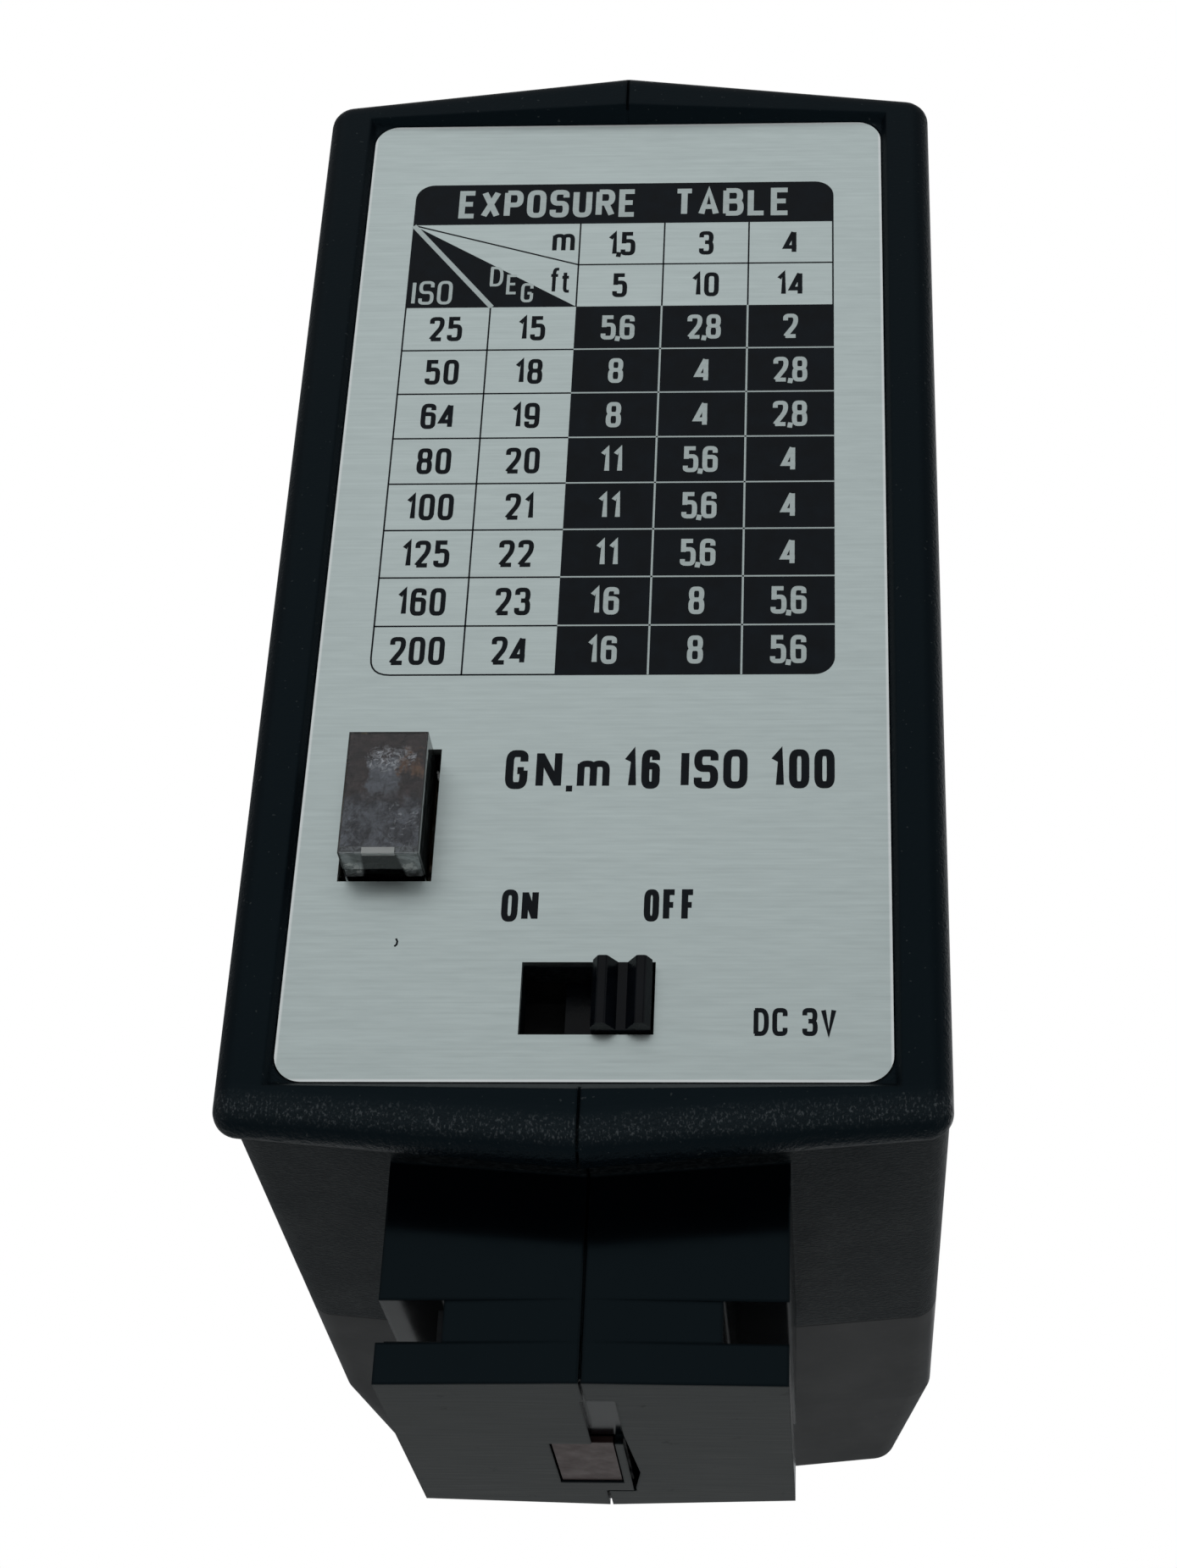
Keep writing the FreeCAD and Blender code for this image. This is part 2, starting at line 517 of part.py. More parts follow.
def make_battery_door():
    """The hinged battery door in the case's top, with its hinge barrel, grip ribs, tab and contact posts."""
    slab = cut("roof_slab", prism("roof_block", "XZ", DOOR_REAR, DOOR_FRONT, hexagon("0")),
               prism("roof_space", "XZ", f"{DOOR_REAR} - 1", f"{DOOR_FRONT} + 1", hexagon("door_thickness")))
    middle = "(knuckle_half - gap / 2)"
    room = box("door_room", (f"-{DOOR_HALF}", DOOR_HALF), (DOOR_REAR, DOOR_FRONT),
               (f"{HIGH} - 3", f"{PEAK} + 1"))
    barrel = rod("door_barrel", "X", "hinge_radius", f"2 * {middle}", (f"-{middle}", HINGE_Y, HINGE_Z))
    web = box("door_web", (f"-{middle}", middle), (f"{HINGE_Y} - 2.6", HINGE_Y),
              (f"{HINGE_Z} - 0.9", f"{HINGE_Z} + 0.5"))
    ribs = [box(f"grip_rib_{number}", ("-4", "4"), (f"{DOOR_REAR} + {1 + 1.2 * number}",
                f"{DOOR_REAR} + {1.6 + 1.2 * number}"), (f"{PEAK} - 0.6", f"{PEAK} + 0.4"))
                for number in range(3)]
    tab = box("door_tab", ("-3", "3"), (f"{DOOR_REAR} + 1.1", f"{DOOR_REAR} + 1.9"),
              (f"{HIGH} - 3.2", f"{PEAK} - 1"))
    posts = [box(f"bridge_post_{number}", (f"{side} - 1", f"{side} + 1"), ("cell_row - 2", "cell_row + 2"),
                 (f"{CELL_HIGH} + nub_height + bridge_thickness + gap", f"{HIGH} - 0.5"))
             for number, side in enumerate(("-cell_radius", "cell_radius"))]
    bore = rod("door_bore", "X", "pin_radius + running", "2 * knuckle_half",
               ("-knuckle_half", HINGE_Y, HINGE_Z))
    panel = common("door_panel", slab, room)
    cut("battery_door", join("door_full", panel, barrel, web, tab, *ribs, *posts), bore)
    rod("hinge_pin", "X", "pin_radius", "2 * (knuckle_half + lug_width) - 0.2",
        ("-(knuckle_half + lug_width) + 0.1", HINGE_Y, HINGE_Z))
    under = f"{CELL_HIGH} + nub_height + gap"
    strip = box("bridge_strip", ("-cell_radius - 3", "cell_radius + 3"), ("cell_row - 3", "cell_row + 3"),
                (under, f"{under} + bridge_thickness"))
    dimple = rod("bridge_dimple", "Z", "1.5", f"{under} - ({CELL_HIGH} + 0.1)", ("cell_radius", "cell_row",
                 f"{CELL_HIGH} + 0.1"))
    join("bridge_contact", strip, dimple)


def make_panel():
    """The aluminium exposure panel that lies in the rear recess, with its two openings."""
    sheet = prism("panel_sheet", "XZ", PANEL_FACE, PANEL_BACK,
                  rectangle("-panel_width / 2", "panel_width / 2", PANEL_LOW, f"{PANEL_LOW} + panel_height"),
                  "panel_corner")
    holes = [box(f"panel_{kind}_hole", *slot(kind, f"{PANEL_FACE} - 1", f"{PANEL_BACK} + 1"))
             for kind in ("button", "switch")]
    cut("exposure_panel", sheet, *holes)


def make_test_button():
    """The clear test button with its foil, the lamp inside it, its spring and the leaf that it closes."""
    half_width = "(button_slot_width / 2 - button_gap)"
    half_height = "(button_slot_height / 2 - button_gap)"
    face = f"{PANEL_FACE} - button_proud"
    flange_rear = f"({INNER_REAR} + slip)"
    flange_front = f"({flange_rear} + flange_thickness)"

    def centred(name, width, height, rear, front):
        return box(name, (f"button_across - ({width})", f"button_across + ({width})"), (rear, front),
                   (f"{BUTTON_Z} - ({height})", f"{BUTTON_Z} + ({height})"))

    block = centred("button_block", half_width, half_height, face, flange_front)
    flange = centred("button_rim", f"{half_width} + button_flange", f"{half_height} + button_flange",
                     flange_rear, flange_front)
    hollow = centred("button_hollow", f"{half_width} - button_skin", f"{half_height} - button_skin",
                     f"{face} + button_skin", f"{flange_front} + 1")
    cut("test_button", join("button_full", block, flange), hollow)
    foil_rear = f"{face} + button_skin + running"
    box("button_foil", (f"button_across - {half_width} + button_skin + seat",
                        f"button_across + {half_width} - button_skin - seat"),
        (foil_rear, f"{foil_rear} + foil_thickness"),
        (f"{BUTTON_Z} - {half_height} + button_skin + foil_drop",
         f"{BUTTON_Z} + {half_height} - button_skin - seat"))
    lamp_row = f"({PANEL_FACE} + lamp_radius + 0.1)"
    glass = rod("lamp_glass", "Z", "lamp_radius", "lamp_length",
                ("button_across", lamp_row, f"{BUTTON_Z} - lamp_length / 2"))
    leads = [rod(f"lamp_lead_{number}", "Y", "0.2", f"{BOARD_REAR} - {lamp_row}",
                 ("button_across", lamp_row, f"{BUTTON_Z} + {offset}")) for number,
                 offset in enumerate((-0.8, 0.8))]
    join("ready_lamp", glass, *leads)
    coil("button_spring", "1.6", "0.17", f"{BOARD_REAR} - {flange_front} - 0.5", "0.8",
         ("button_across", f"{flange_front} + 0.25", BUTTON_Z), "Y")
    stop = f"({flange_front} + button_travel)"
    leaf = box("leaf_blade", ("button_across - 2.6", "button_across - 1.9"),
               (f"{stop} + 0.1", f"{stop} + 0.3"),
               (f"{BUTTON_Z} - 3", f"{BUTTON_Z} + 3"))
    root = box("leaf_root", ("button_across - 2.6", "button_across - 1.9"), (f"{stop} + 0.1", BOARD_REAR),
               (f"{BUTTON_Z} + 2.7", f"{BUTTON_Z} + 3"))
    join("test_contact", leaf, root)


def make_switch():
    """The slide switch: body, ribbed knob on its slider, wiper and three terminals."""
    height = "(switch_slot_height / 2)"
    inner_half = "(slider_width / 2 + switch_slot_width / 2 - knob_width / 2 + slip)"
    outer_half = f"({inner_half} + switch_wall)"
    slider_half = f"({height} + slider_margin)"
    rear = f"({INNER_REAR} + seat)"
    shell = box("switch_shell", (f"switch_across - {outer_half}", f"switch_across + {outer_half}"),
                (rear, BOARD_REAR),
                (f"{SWITCH_Z} - {slider_half} - switch_wall", f"{SWITCH_Z} + {slider_half} + switch_wall"))
    channel = box("switch_channel", (f"switch_across - {inner_half}", f"switch_across + {inner_half}"),
                  (f"{rear} - 1", f"{BOARD_REAR} - switch_floor"),
                  (f"{SWITCH_Z} - {slider_half} - slip", f"{SWITCH_Z} + {slider_half} + slip"))
    cut("switch_body", shell, channel)
    slider = box("slider_block", (f"{KNOB_X} - slider_width / 2", f"{KNOB_X} + slider_width / 2"),
                 (f"{rear} + slip", f"{rear} + slip + slider_thickness"),
                 (f"{SWITCH_Z} - {slider_half}", f"{SWITCH_Z} + {slider_half}"))
    top = f"({PANEL_FACE} - knob_proud)"
    half = "(knob_width / 2)"
    knob = prism("knob_head", "XY", f"{SWITCH_Z} - {height} + slip", f"{SWITCH_Z} + {height} - slip",
                 [(f"{KNOB_X} - {half}", f"{rear} + 1"), (f"{KNOB_X} + {half}", f"{rear} + 1"),
                  (f"{KNOB_X} + {half}", f"{top} + 0.5"), (f"{KNOB_X} + 0.8 * {half}", top),
                  (f"{KNOB_X} + 0.5 * {half}", top), (f"{KNOB_X} + 0.16 * {half}", f"{top} + knob_groove"),
                  (f"{KNOB_X} - 0.16 * {half}", f"{top} + knob_groove"), (f"{KNOB_X} - 0.5 * {half}", top),
                  (f"{KNOB_X} - 0.8 * {half}", top), (f"{KNOB_X} - {half}", f"{top} + 0.5")],
                 "knob_softness", (3, 4, 7, 8))
    join("switch_knob", slider, knob)
    under = f"({rear} + slip + slider_thickness)"
    plate = box("wiper_plate", (f"{KNOB_X} - 2", f"{KNOB_X} + 2"), (under, f"{under} + wiper_thickness"),
                (f"{SWITCH_Z} - 1", f"{SWITCH_Z} + 1"))
    prongs = [rod(f"wiper_prong_{number}", "Y", "0.4", "0.35",
                  (f"{KNOB_X} + {offset}", f"{under} + wiper_thickness - 0.05",
                  SWITCH_Z)) for number, offset in enumerate((-1.4, 1.4))]
    join("switch_wiper", plate, *prongs)
    tails = [rod(f"switch_tail_{number}", "Y", "0.35", f"{BOARD_FRONT} + 0.8 - ({BOARD_REAR} - switch_floor)",
                 (f"switch_across + {offset}", f"{BOARD_REAR} - switch_floor", SWITCH_Z))
             for number, offset in enumerate((-2.8, 0, 2.8))]
    join("switch_terminals", *tails)


def make_battery_bay():
    """The tray, the two cells and their contacts."""
    width = f"({HALF} - side_wall - running)"
    block = box("tray_block", (f"-{width}", width), (TRAY_REAR, TRAY_FRONT),
                (TRAY_LOW, f"{TRAY_LOW} + tray_height"))
    inner = "(2 * cell_radius + 2 * running)"
    room = box("tray_room", (f"-{inner}", inner), (f"{TRAY_REAR} + tray_wall", f"{TRAY_FRONT} - tray_wall"),
               (TRAY_FLOOR, f"{TRAY_LOW} + tray_height + 1"))
    rib = box("tray_rib", ("-0.3", "0.3"), (f"{TRAY_REAR} + tray_wall / 2", f"{TRAY_REAR} + tray_wall + 2"),
              (f"{TRAY_FLOOR} - 0.2", f"{TRAY_LOW} + tray_height"))
    join("battery_tray", cut("tray_shell", block, room), rib)
    for side, sign, nub_end in (("left", "-", f"{CELL_HIGH}"), ("right", "", f"{CELL_LOW} - nub_height")):
        across = f"{sign}(cell_radius + running)"
        can = rod(f"{side}_can", "Z", "cell_radius", "cell_length", (across, "cell_row", CELL_LOW))
        nub = rod(f"{side}_nub", "Z", "nub_radius", "nub_height", (across, "cell_row", nub_end))
        join(f"battery_cell_{side}", can, nub)
    end = f"({CELL_LOW} - seat)"
    prism("negative_leaf", "XZ", "cell_row - leaf_width / 2", "cell_row + leaf_width / 2",
          [("-cell_radius - 3.5", TRAY_FLOOR), ("-cell_radius + 3.5", TRAY_FLOOR),
           ("-cell_radius + 3.5", f"{TRAY_FLOOR} + 2 * leaf_thickness"), ("-cell_radius + 0.5", end),
           ("-cell_radius - 2.5", f"{end} - 0.9"), ("-cell_radius - 2.5", f"{end} - 0.9 - leaf_thickness"),
           ("-cell_radius + 0.4", f"{end} - 1.2 * leaf_thickness"),
           ("-cell_radius + 2.9", f"{TRAY_FLOOR} + leaf_thickness"),
           ("-cell_radius - 3.5", f"{TRAY_FLOOR} + leaf_thickness")])
    plate = box("positive_plate", ("cell_radius - 3.5", "cell_radius + 3.5"),
                ("cell_row - 3.5", "cell_row + 3.5"),
                (TRAY_FLOOR, f"{TRAY_FLOOR} + bridge_thickness"))
    bump = rod("positive_bump", "Z", "1.8", "contact_height - nub_height - running",
               ("cell_radius", "cell_row", TRAY_FLOOR))
    join("positive_contact", plate, bump)


def make_board():
    """The circuit board behind the rear wall and the small parts soldered to it."""
    box("circuit_board", ("-board_width / 2", "board_width / 2"), (BOARD_REAR, BOARD_FRONT),
        (BOARD_LOW, f"{BOARD_LOW} + board_height"))
    resistors = []
    for number, (across, lift) in enumerate(((5.5, 15.0), (5.5, 18.0), (-6.0, 28.0), (-6.0, 31.5))):
        resistors.append(lying_part(f"resistor_{number}", "0.85", "4.6", across, lift, "1.1"))
    join("resistors", *resistors)
    lying_part("rectifier_diode", "0.95", "5", 6.0, 31.5, "1.2")
    rod("power_transistor", "Z", "1.85", "4.8", ("10.5", f"{BOARD_REAR} - 1.9", f"{BOARD_LOW} + 37"))
    box("trigger_capacitor", ("-11.5", "-3.5"), (f"{BOARD_REAR} - 3.2", BOARD_REAR),
        (f"{BOARD_LOW} + 39", f"{BOARD_LOW} + 43.5"))
    bobbin = rod("trigger_bobbin", "X", "1.75", "9", ("-2", f"{BOARD_REAR} - 1.8", f"{BOARD_LOW} + 40.5"))
    flanges = [rod(f"trigger_flange_{number}", "X", "1.8", "0.6", (across, f"{BOARD_REAR} - 1.8",
                   f"{BOARD_LOW} + 40.5")) for number, across in enumerate(("-2.5", "6.9"))]
    join("trigger_coil", bobbin, *flanges)


def lying_part(name, radius, length, across, lift, height):
    """A small round part lying along X on two leads that enter the board."""
    row = f"({BOARD_REAR} - {height})"
    level = f"({BOARD_LOW} + {lift})"
    body = rod(f"{name}_body", "X", radius, length, (f"{across} - {length} / 2", row, level))
    pieces = [body]
    for number, side in enumerate((-1, 1)):
        end = f"({across} + {side} * ({length} / 2 + 1))"
        low = f"{end} - lead_radius" if side < 0 else f"{across} + {length} / 2 - 0.2"
        span = box(f"{name}_wire_{number}", (low, f"{low} + 1.2 + lead_radius"),
                   (f"{row} - lead_radius", f"{row} + lead_radius"),
                   (f"{level} - lead_radius", f"{level} + lead_radius"))
        leg = rod(f"{name}_leg_{number}", "Y", "lead_radius", f"{BOARD_FRONT} + 0.6 - {row}",
                  (end, row, level))
        pieces += [span, leg]
    return join(name, *pieces)


def make_flash_head():
    """The window, the trough reflector, the tube with its end caps and the trigger wire round it."""
    half_width = "(window_width / 2 - seat)"
    half_height = "(window_height / 2 - seat)"
    pane = box("window_pane", (f"-{half_width}", half_width), (f"{HEAD_FRONT} - 0.1", f"{FRONT} - 0.2"),
               (f"{WINDOW_Z} - {half_height}", f"{WINDOW_Z} + {half_height}"))
    flange = box("window_edge", (f"-{half_width} - window_flange", f"{half_width} + window_flange"),
                 (f"{HEAD_FRONT} - window_flange", f"{HEAD_FRONT} - seat"),
                 (f"{WINDOW_Z} - {half_height} - window_flange",
                  f"{WINDOW_Z} + {half_height} + window_flange"))
    join("flash_window", pane, flange)
    length = "(window_width + 2 * mirror_thickness)"
    start = f"-{length} / 2"
    centre = (start, MIRROR_FRONT, WINDOW_Z)
    outer = rod("mirror_outer", "X", "mirror_radius + mirror_thickness", length, centre)
    inner = rod("mirror_inner", "X", "mirror_radius", f"{length} - 2 * mirror_thickness",
                (f"{start} + mirror_thickness", MIRROR_FRONT, WINDOW_Z))
    front = box("mirror_front", ("-window_width", "window_width"),
                (MIRROR_FRONT, f"{MIRROR_FRONT} + 2 * mirror_radius"),
                (f"{WINDOW_Z} - 2 * mirror_radius", f"{WINDOW_Z} + 2 * mirror_radius"))
    tube_row = f"({MIRROR_FRONT} - mirror_radius + tube_forward)"
    tube_start = "-tube_length / 2"
    passage = rod("mirror_passage", "X", "tube_radius + 3 * running", "2 * window_width",
                  ("-window_width", tube_row, WINDOW_Z))
    cut("reflector", outer, inner, front, passage)
    rod("flash_tube", "X", "tube_radius", "tube_length", (tube_start, tube_row, WINDOW_Z))
    caps = [rod(f"tube_cap_{number}", "X", "tube_radius", "cap_length", (place_x, tube_row, WINDOW_Z))
            for number, place_x in enumerate((f"{tube_start} - cap_length", "tube_length / 2"))]
    join("tube_caps", *caps)


def make_power_parts():
    """The main capacitor with its clip, and the oscillator transformer."""
    across = ("capacitor_across", "capacitor_row")
    can = rod("capacitor_can", "Z", "capacitor_radius", "capacitor_length", (*across, CAPACITOR_LOW))
    tails = [rod(f"capacitor_tail_{number}", "Z", "0.4", "2.5",
                 (f"capacitor_across + {offset}", "capacitor_row",
                 f"{CAPACITOR_LOW} + capacitor_length")) for number, offset in enumerate((-3, 3))]
    join("main_capacitor", can, *tails)
    ring = rod("clip_outer", "Z", "capacitor_radius + 0.55", "4", (*across, f"{CAPACITOR_LOW} + 20"))
    hole = rod("clip_inner", "Z", "capacitor_radius + running", "6", (*across, f"{CAPACITOR_LOW} + 19"))
    mouth = box("clip_mouth", ("capacitor_across - 3", "capacitor_across + 3"),
                ("capacitor_row", "capacitor_row + 12"),
                (f"{CAPACITOR_LOW} + 19", f"{CAPACITOR_LOW} + 25"))
    cut("capacitor_clip", ring, hole, mouth)
    left = "(capacitor_across + capacitor_radius + 2 * gap)"
    rear = f"({SPLIT} + 2.2)"
    low = f"({CAPACITOR_LOW} + 0.2)"
    core = box("core_block", (left, f"{left} + core_width"), (rear, f"{rear} + core_depth"),
               (low, f"{low} + core_height"))
    windows = [box(f"core_window_{number}",
                   (f"{left} + {share} * core_width", f"{left} + ({share} + 0.2) * core_width"),
                   (f"{rear} - 1", f"{rear} + core_depth + 1"), (f"{low} + 2", f"{low} + core_height - 2"))
               for number, share in enumerate((0.15, 0.65))]
    cut("transformer_core", core, *windows)
    around = box("coil_outer", (f"{left} + 0.17 * core_width", f"{left} + 0.83 * core_width"),
                 (f"{rear} - 1.6", f"{rear} + core_depth + 1.6"),
                 (f"{low} + 2.2", f"{low} + core_height - 2.2"))
    leg = box("coil_inner", (f"{left} + 0.34 * core_width", f"{left} + 0.66 * core_width"),
              (f"{rear} - 0.05", f"{rear} + core_depth + 0.05"), (f"{low} + 1", f"{low} + core_height - 1"))
    cut("transformer_coil", around, leg)


def make_shoe_contacts():
    """The copper centre contact in the foot's window and the ground spring in the left rail slot."""
    face = box("contact_face", ("-2.1", "0.8"), ("-0.25", "6.15"), ("0.1", "0.4"))
    riser = box("contact_riser", ("-2.1", "0.8"), ("5.85", "6.15"), ("0.1", f"{LOW} - 1.5"))
    join("shoe_contact", face, riser)
    strip = box("ground_strip", ("-foot_width / 2 + 0.3", "-neck_width / 2 - seat"), ("-8.8", "7.5"),
                ("foot_plate + 0.02", "foot_plate + 0.22"))
    wall = box("ground_wall", ("-neck_width / 2 - 0.3", "-neck_width / 2 - seat"), ("-8.8", "7.5"),
               ("foot_plate + 0.02", "foot_plate + rail_gap - 0.3"))
    join("ground_spring", strip, wall)


NODES = ("case_left", "case_right", "case_screws", "front_cover", "battery_door", "hinge_pin",
         "bridge_contact",
         "exposure_panel", "test_button", "button_foil", "ready_lamp", "button_spring", "test_contact",
         "switch_body", "switch_knob", "switch_wiper", "switch_terminals", "battery_tray",
         "battery_cell_left",
         "battery_cell_right", "negative_leaf", "positive_contact", "circuit_board", "resistors",
         "rectifier_diode", "power_transistor", "trigger_capacitor", "trigger_coil", "flash_window",
         "reflector",
         "flash_tube", "tube_caps", "main_capacitor", "capacitor_clip", "transformer_core",
         "transformer_coil",
         "shoe_contact", "ground_spring")


def write_parts():
    """Check every object and write one file for each piece."""
    doc.recompute()
    for thing in doc.Objects:
        if {"Invalid", "Error"} & set(thing.State):
            raise RuntimeError(f"{thing.Name} has failed: {thing.State}")
    os.makedirs("parts", exist_ok=True)
    for name in NODES:
        shape = doc.getObject(name).Shape
        if shape.isNull() or not shape.isValid() or shape.Volume <= 0:
            raise RuntimeError(f"{name} is not a sound solid")
        shape.exportStep(f"parts/{name}.step")
        span = shape.BoundBox
        print(f"{name:20s} {len(shape.Solids)} solids, {shape.Volume:9.2f} mm3, x {span.XMin:7.2f} {span.XMax:7.2f}, "
              f"y {span.YMin:7.2f} {span.YMax:7.2f}, z {span.ZMin:7.2f} {span.ZMax:7.2f}")


make_sheet()
make_case_halves()
make_front_cover()
make_battery_door()
make_panel()
make_test_button()
make_switch()
make_battery_bay()
make_board()
make_flash_head()
make_power_parts()
make_shoe_contacts()
write_parts()
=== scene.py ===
import math

import bpy
import numpy as np
from mathutils import Matrix, Vector


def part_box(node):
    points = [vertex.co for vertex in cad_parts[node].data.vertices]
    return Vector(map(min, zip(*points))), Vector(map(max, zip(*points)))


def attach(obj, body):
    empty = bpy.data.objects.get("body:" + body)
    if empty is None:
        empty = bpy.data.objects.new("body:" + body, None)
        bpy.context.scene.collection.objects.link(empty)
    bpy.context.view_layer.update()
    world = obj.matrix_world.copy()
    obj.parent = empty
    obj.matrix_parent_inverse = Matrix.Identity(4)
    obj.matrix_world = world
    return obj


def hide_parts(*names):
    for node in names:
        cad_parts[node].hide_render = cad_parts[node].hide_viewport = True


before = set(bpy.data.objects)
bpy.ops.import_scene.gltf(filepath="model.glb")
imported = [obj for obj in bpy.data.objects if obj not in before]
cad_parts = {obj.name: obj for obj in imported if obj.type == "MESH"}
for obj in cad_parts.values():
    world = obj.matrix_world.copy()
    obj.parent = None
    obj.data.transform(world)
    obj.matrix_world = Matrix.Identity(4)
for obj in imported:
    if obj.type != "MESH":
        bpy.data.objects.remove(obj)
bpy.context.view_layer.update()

bl_info = {
    "name": "Shoe flash looks",
    "version": (1, 0, 0),
    "blender": (4, 5, 0),
    "location": "3D View > Sidebar > Flash",
    "description": "Finishes, printing, wiring and stage for a small shoe-mounted electronic flash",
    "category": "Object",
}

MM = 0.001

# The case's outline as the CAD has it: rise of its shallow peaks, slope of its underside, half its stem's width.
PEAK_RISE = 1.5 * MM
FLOOR_FALL = 0.0385
STEM_HALF = 9.3 * MM
SATIN_SPECULAR = 0.13


class FlashSizes(bpy.types.PropertyGroup):
    """Sizes of the pieces that are added to the CAD model."""
    ink: bpy.props.FloatProperty(name="Ink", description="Thickness of one layer of printing", default=0.008 * MM,
                                 unit="LENGTH", precision=6)
    line: bpy.props.FloatProperty(name="Line", description="Width of the table's lines", default=0.085 * MM,
                                  unit="LENGTH", precision=6)
    digit: bpy.props.FloatProperty(name="Digit", description="Height of the table's digits", default=1.62 * MM,
                                   unit="LENGTH", precision=5)
    squeeze: bpy.props.FloatProperty(name="Squeeze", description="Width of a letter's grid step against its height",
                                     default=0.58, min=0.3, max=1.5)
    pen: bpy.props.FloatProperty(name="Pen", description="Line width of the digits against their height",
                                 default=0.155, min=0.05, max=0.3)
    grain: bpy.props.FloatProperty(name="Grain", description="Size of one grain of the case's texture",
                                   default=0.24 * MM, unit="LENGTH", precision=5)
    wire: bpy.props.FloatProperty(name="Wire", description="Outer radius of a connecting wire", default=0.36 * MM,
                                  unit="LENGTH", precision=5)
    rib: bpy.props.FloatProperty(name="Rib", description="Pitch of the flash window's ribs", default=0.8 * MM,
                                 unit="LENGTH", precision=5)
    crinkle: bpy.props.FloatProperty(name="Crinkle", description="Height of the creases in the button's foil",
                                     default=0.11 * MM, unit="LENGTH", precision=5)


class FlashColours(bpy.types.PropertyGroup):
    """Main colours, as linear values."""
    case: bpy.props.FloatVectorProperty(name="Case", description="Textured black plastic", subtype="COLOR",
                                        default=(0.0030, 0.0042, 0.0052), min=0, max=1)
    gloss: bpy.props.FloatVectorProperty(name="Gloss", description="Polished black plastic of the stem",
                                         subtype="COLOR", default=(0.0008, 0.0016, 0.0026), min=0, max=1)
    panel: bpy.props.FloatVectorProperty(name="Panel", description="Brushed aluminium panel", subtype="COLOR",
                                         default=(0.60, 0.68, 0.67), min=0, max=1)
    ink: bpy.props.FloatVectorProperty(name="Ink", description="Black printing ink", subtype="COLOR",
                                       default=(0.0030, 0.0052, 0.0080), min=0, max=1)
    paper: bpy.props.FloatVectorProperty(name="Floor", description="Pale floor", subtype="COLOR",
                                         default=(0.82, 0.82, 0.81), min=0, max=1)


# ---------------------------------------------------------------- shaders

class Shader:
    """One material's nodes. Object coordinates are in metres in the part's own frame."""

    def __init__(self, name, base=(0.5, 0.5, 0.5), metal=0.0, rough=0.5, **fixed):
        self.material = bpy.data.materials.new(name)
        self.material.use_nodes = True
        self.tree = self.material.node_tree
        self.surface = self.tree.nodes["Principled BSDF"]
        self.place = self.node("ShaderNodeTexCoord").outputs["Object"]
        self.put("Base Color", base)
        self.put("Metallic", metal)
        self.put("Roughness", rough)
        for socket, value in fixed.items():
            self.put(socket.replace("_", " "), value)

    def node(self, kind, **settings):
        made = self.tree.nodes.new(kind)
        for key, value in settings.items():
            setattr(made, key, value)
        return made

    def feed(self, socket, value):
        """Links a socket to another, or gives it a plain value."""
        if isinstance(value, bpy.types.NodeSocket):
            self.tree.links.new(value, socket)
        elif socket.type == "RGBA" and len(value) == 3:
            socket.default_value = (*value, 1.0)
        else:
            socket.default_value = value

    def put(self, name, value):
        self.feed(self.surface.inputs[name], value)

    def stretched(self, scale, shift=(0, 0, 0), turn=(0, 0, 0)):
        mapping = self.node("ShaderNodeMapping")
        self.feed(mapping.inputs["Vector"], self.place)
        mapping.inputs["Scale"].default_value = scale
        mapping.inputs["Location"].default_value = shift
        mapping.inputs["Rotation"].default_value = turn
        return mapping.outputs["Vector"]

    def noise(self, size, detail=2.0, rough=0.5, vector=None, twist=0.0):
        """Cloudy noise from 0 to 1 whose blobs are about one size across, in metres."""
        made = self.node("ShaderNodeTexNoise")
        self.feed(made.inputs["Vector"], self.place if vector is None else vector)
        made.inputs["Scale"].default_value = 1.0 / size
        made.inputs["Detail"].default_value = detail
        made.inputs["Roughness"].default_value = rough
        made.inputs["Distortion"].default_value = twist
        return made.outputs["Fac"]

    def sum(self, operation, first, second=0.0, third=0.0):
        made = self.node("ShaderNodeMath", operation=operation)
        for socket, value in zip(made.inputs, (first, second, third)):
            self.feed(socket, value)
        return made.outputs[0]

    def ramp(self, value, low, high, start=0.0, end=1.0):
        """The value's span from low to high, turned into start to end and held there outside it."""
        made = self.node("ShaderNodeMapRange")
        for socket, number in zip(made.inputs, (value, low, high, start, end)):
            self.feed(socket, number)
        return made.outputs[0]

    def mix(self, share, first, second):
        """A colour between two others."""
        made = self.node("ShaderNodeMix", data_type="RGBA")
        self.feed(made.inputs[0], share)
        self.feed(made.inputs[6], first)
        self.feed(made.inputs[7], second)
        return made.outputs[2]

    def between(self, share, first, second):
        """A number between two others."""
        made = self.node("ShaderNodeMix", data_type="FLOAT")
        self.feed(made.inputs[0], share)
        self.feed(made.inputs[2], first)
        self.feed(made.inputs[3], second)
        return made.outputs[0]

    def axes(self):
        made = self.node("ShaderNodeSeparateXYZ")
        self.feed(made.inputs[0], self.place)
        return made.outputs

    def bump(self, height, depth, strength=1.0, edge=0.0):
        """Dents of a depth in metres where height runs from 0 to 1, and corners eased to an edge radius."""
        made = self.node("ShaderNodeBump")
        if edge:
            eased = self.node("ShaderNodeBevel", samples=4)
            eased.inputs["Radius"].default_value = edge
            self.feed(made.inputs["Normal"], eased.outputs["Normal"])
        self.feed(made.inputs["Height"], height)
        self.feed(made.inputs["Strength"], strength)
        made.inputs["Distance"].default_value = depth
        self.put("Normal", made.outputs["Normal"])


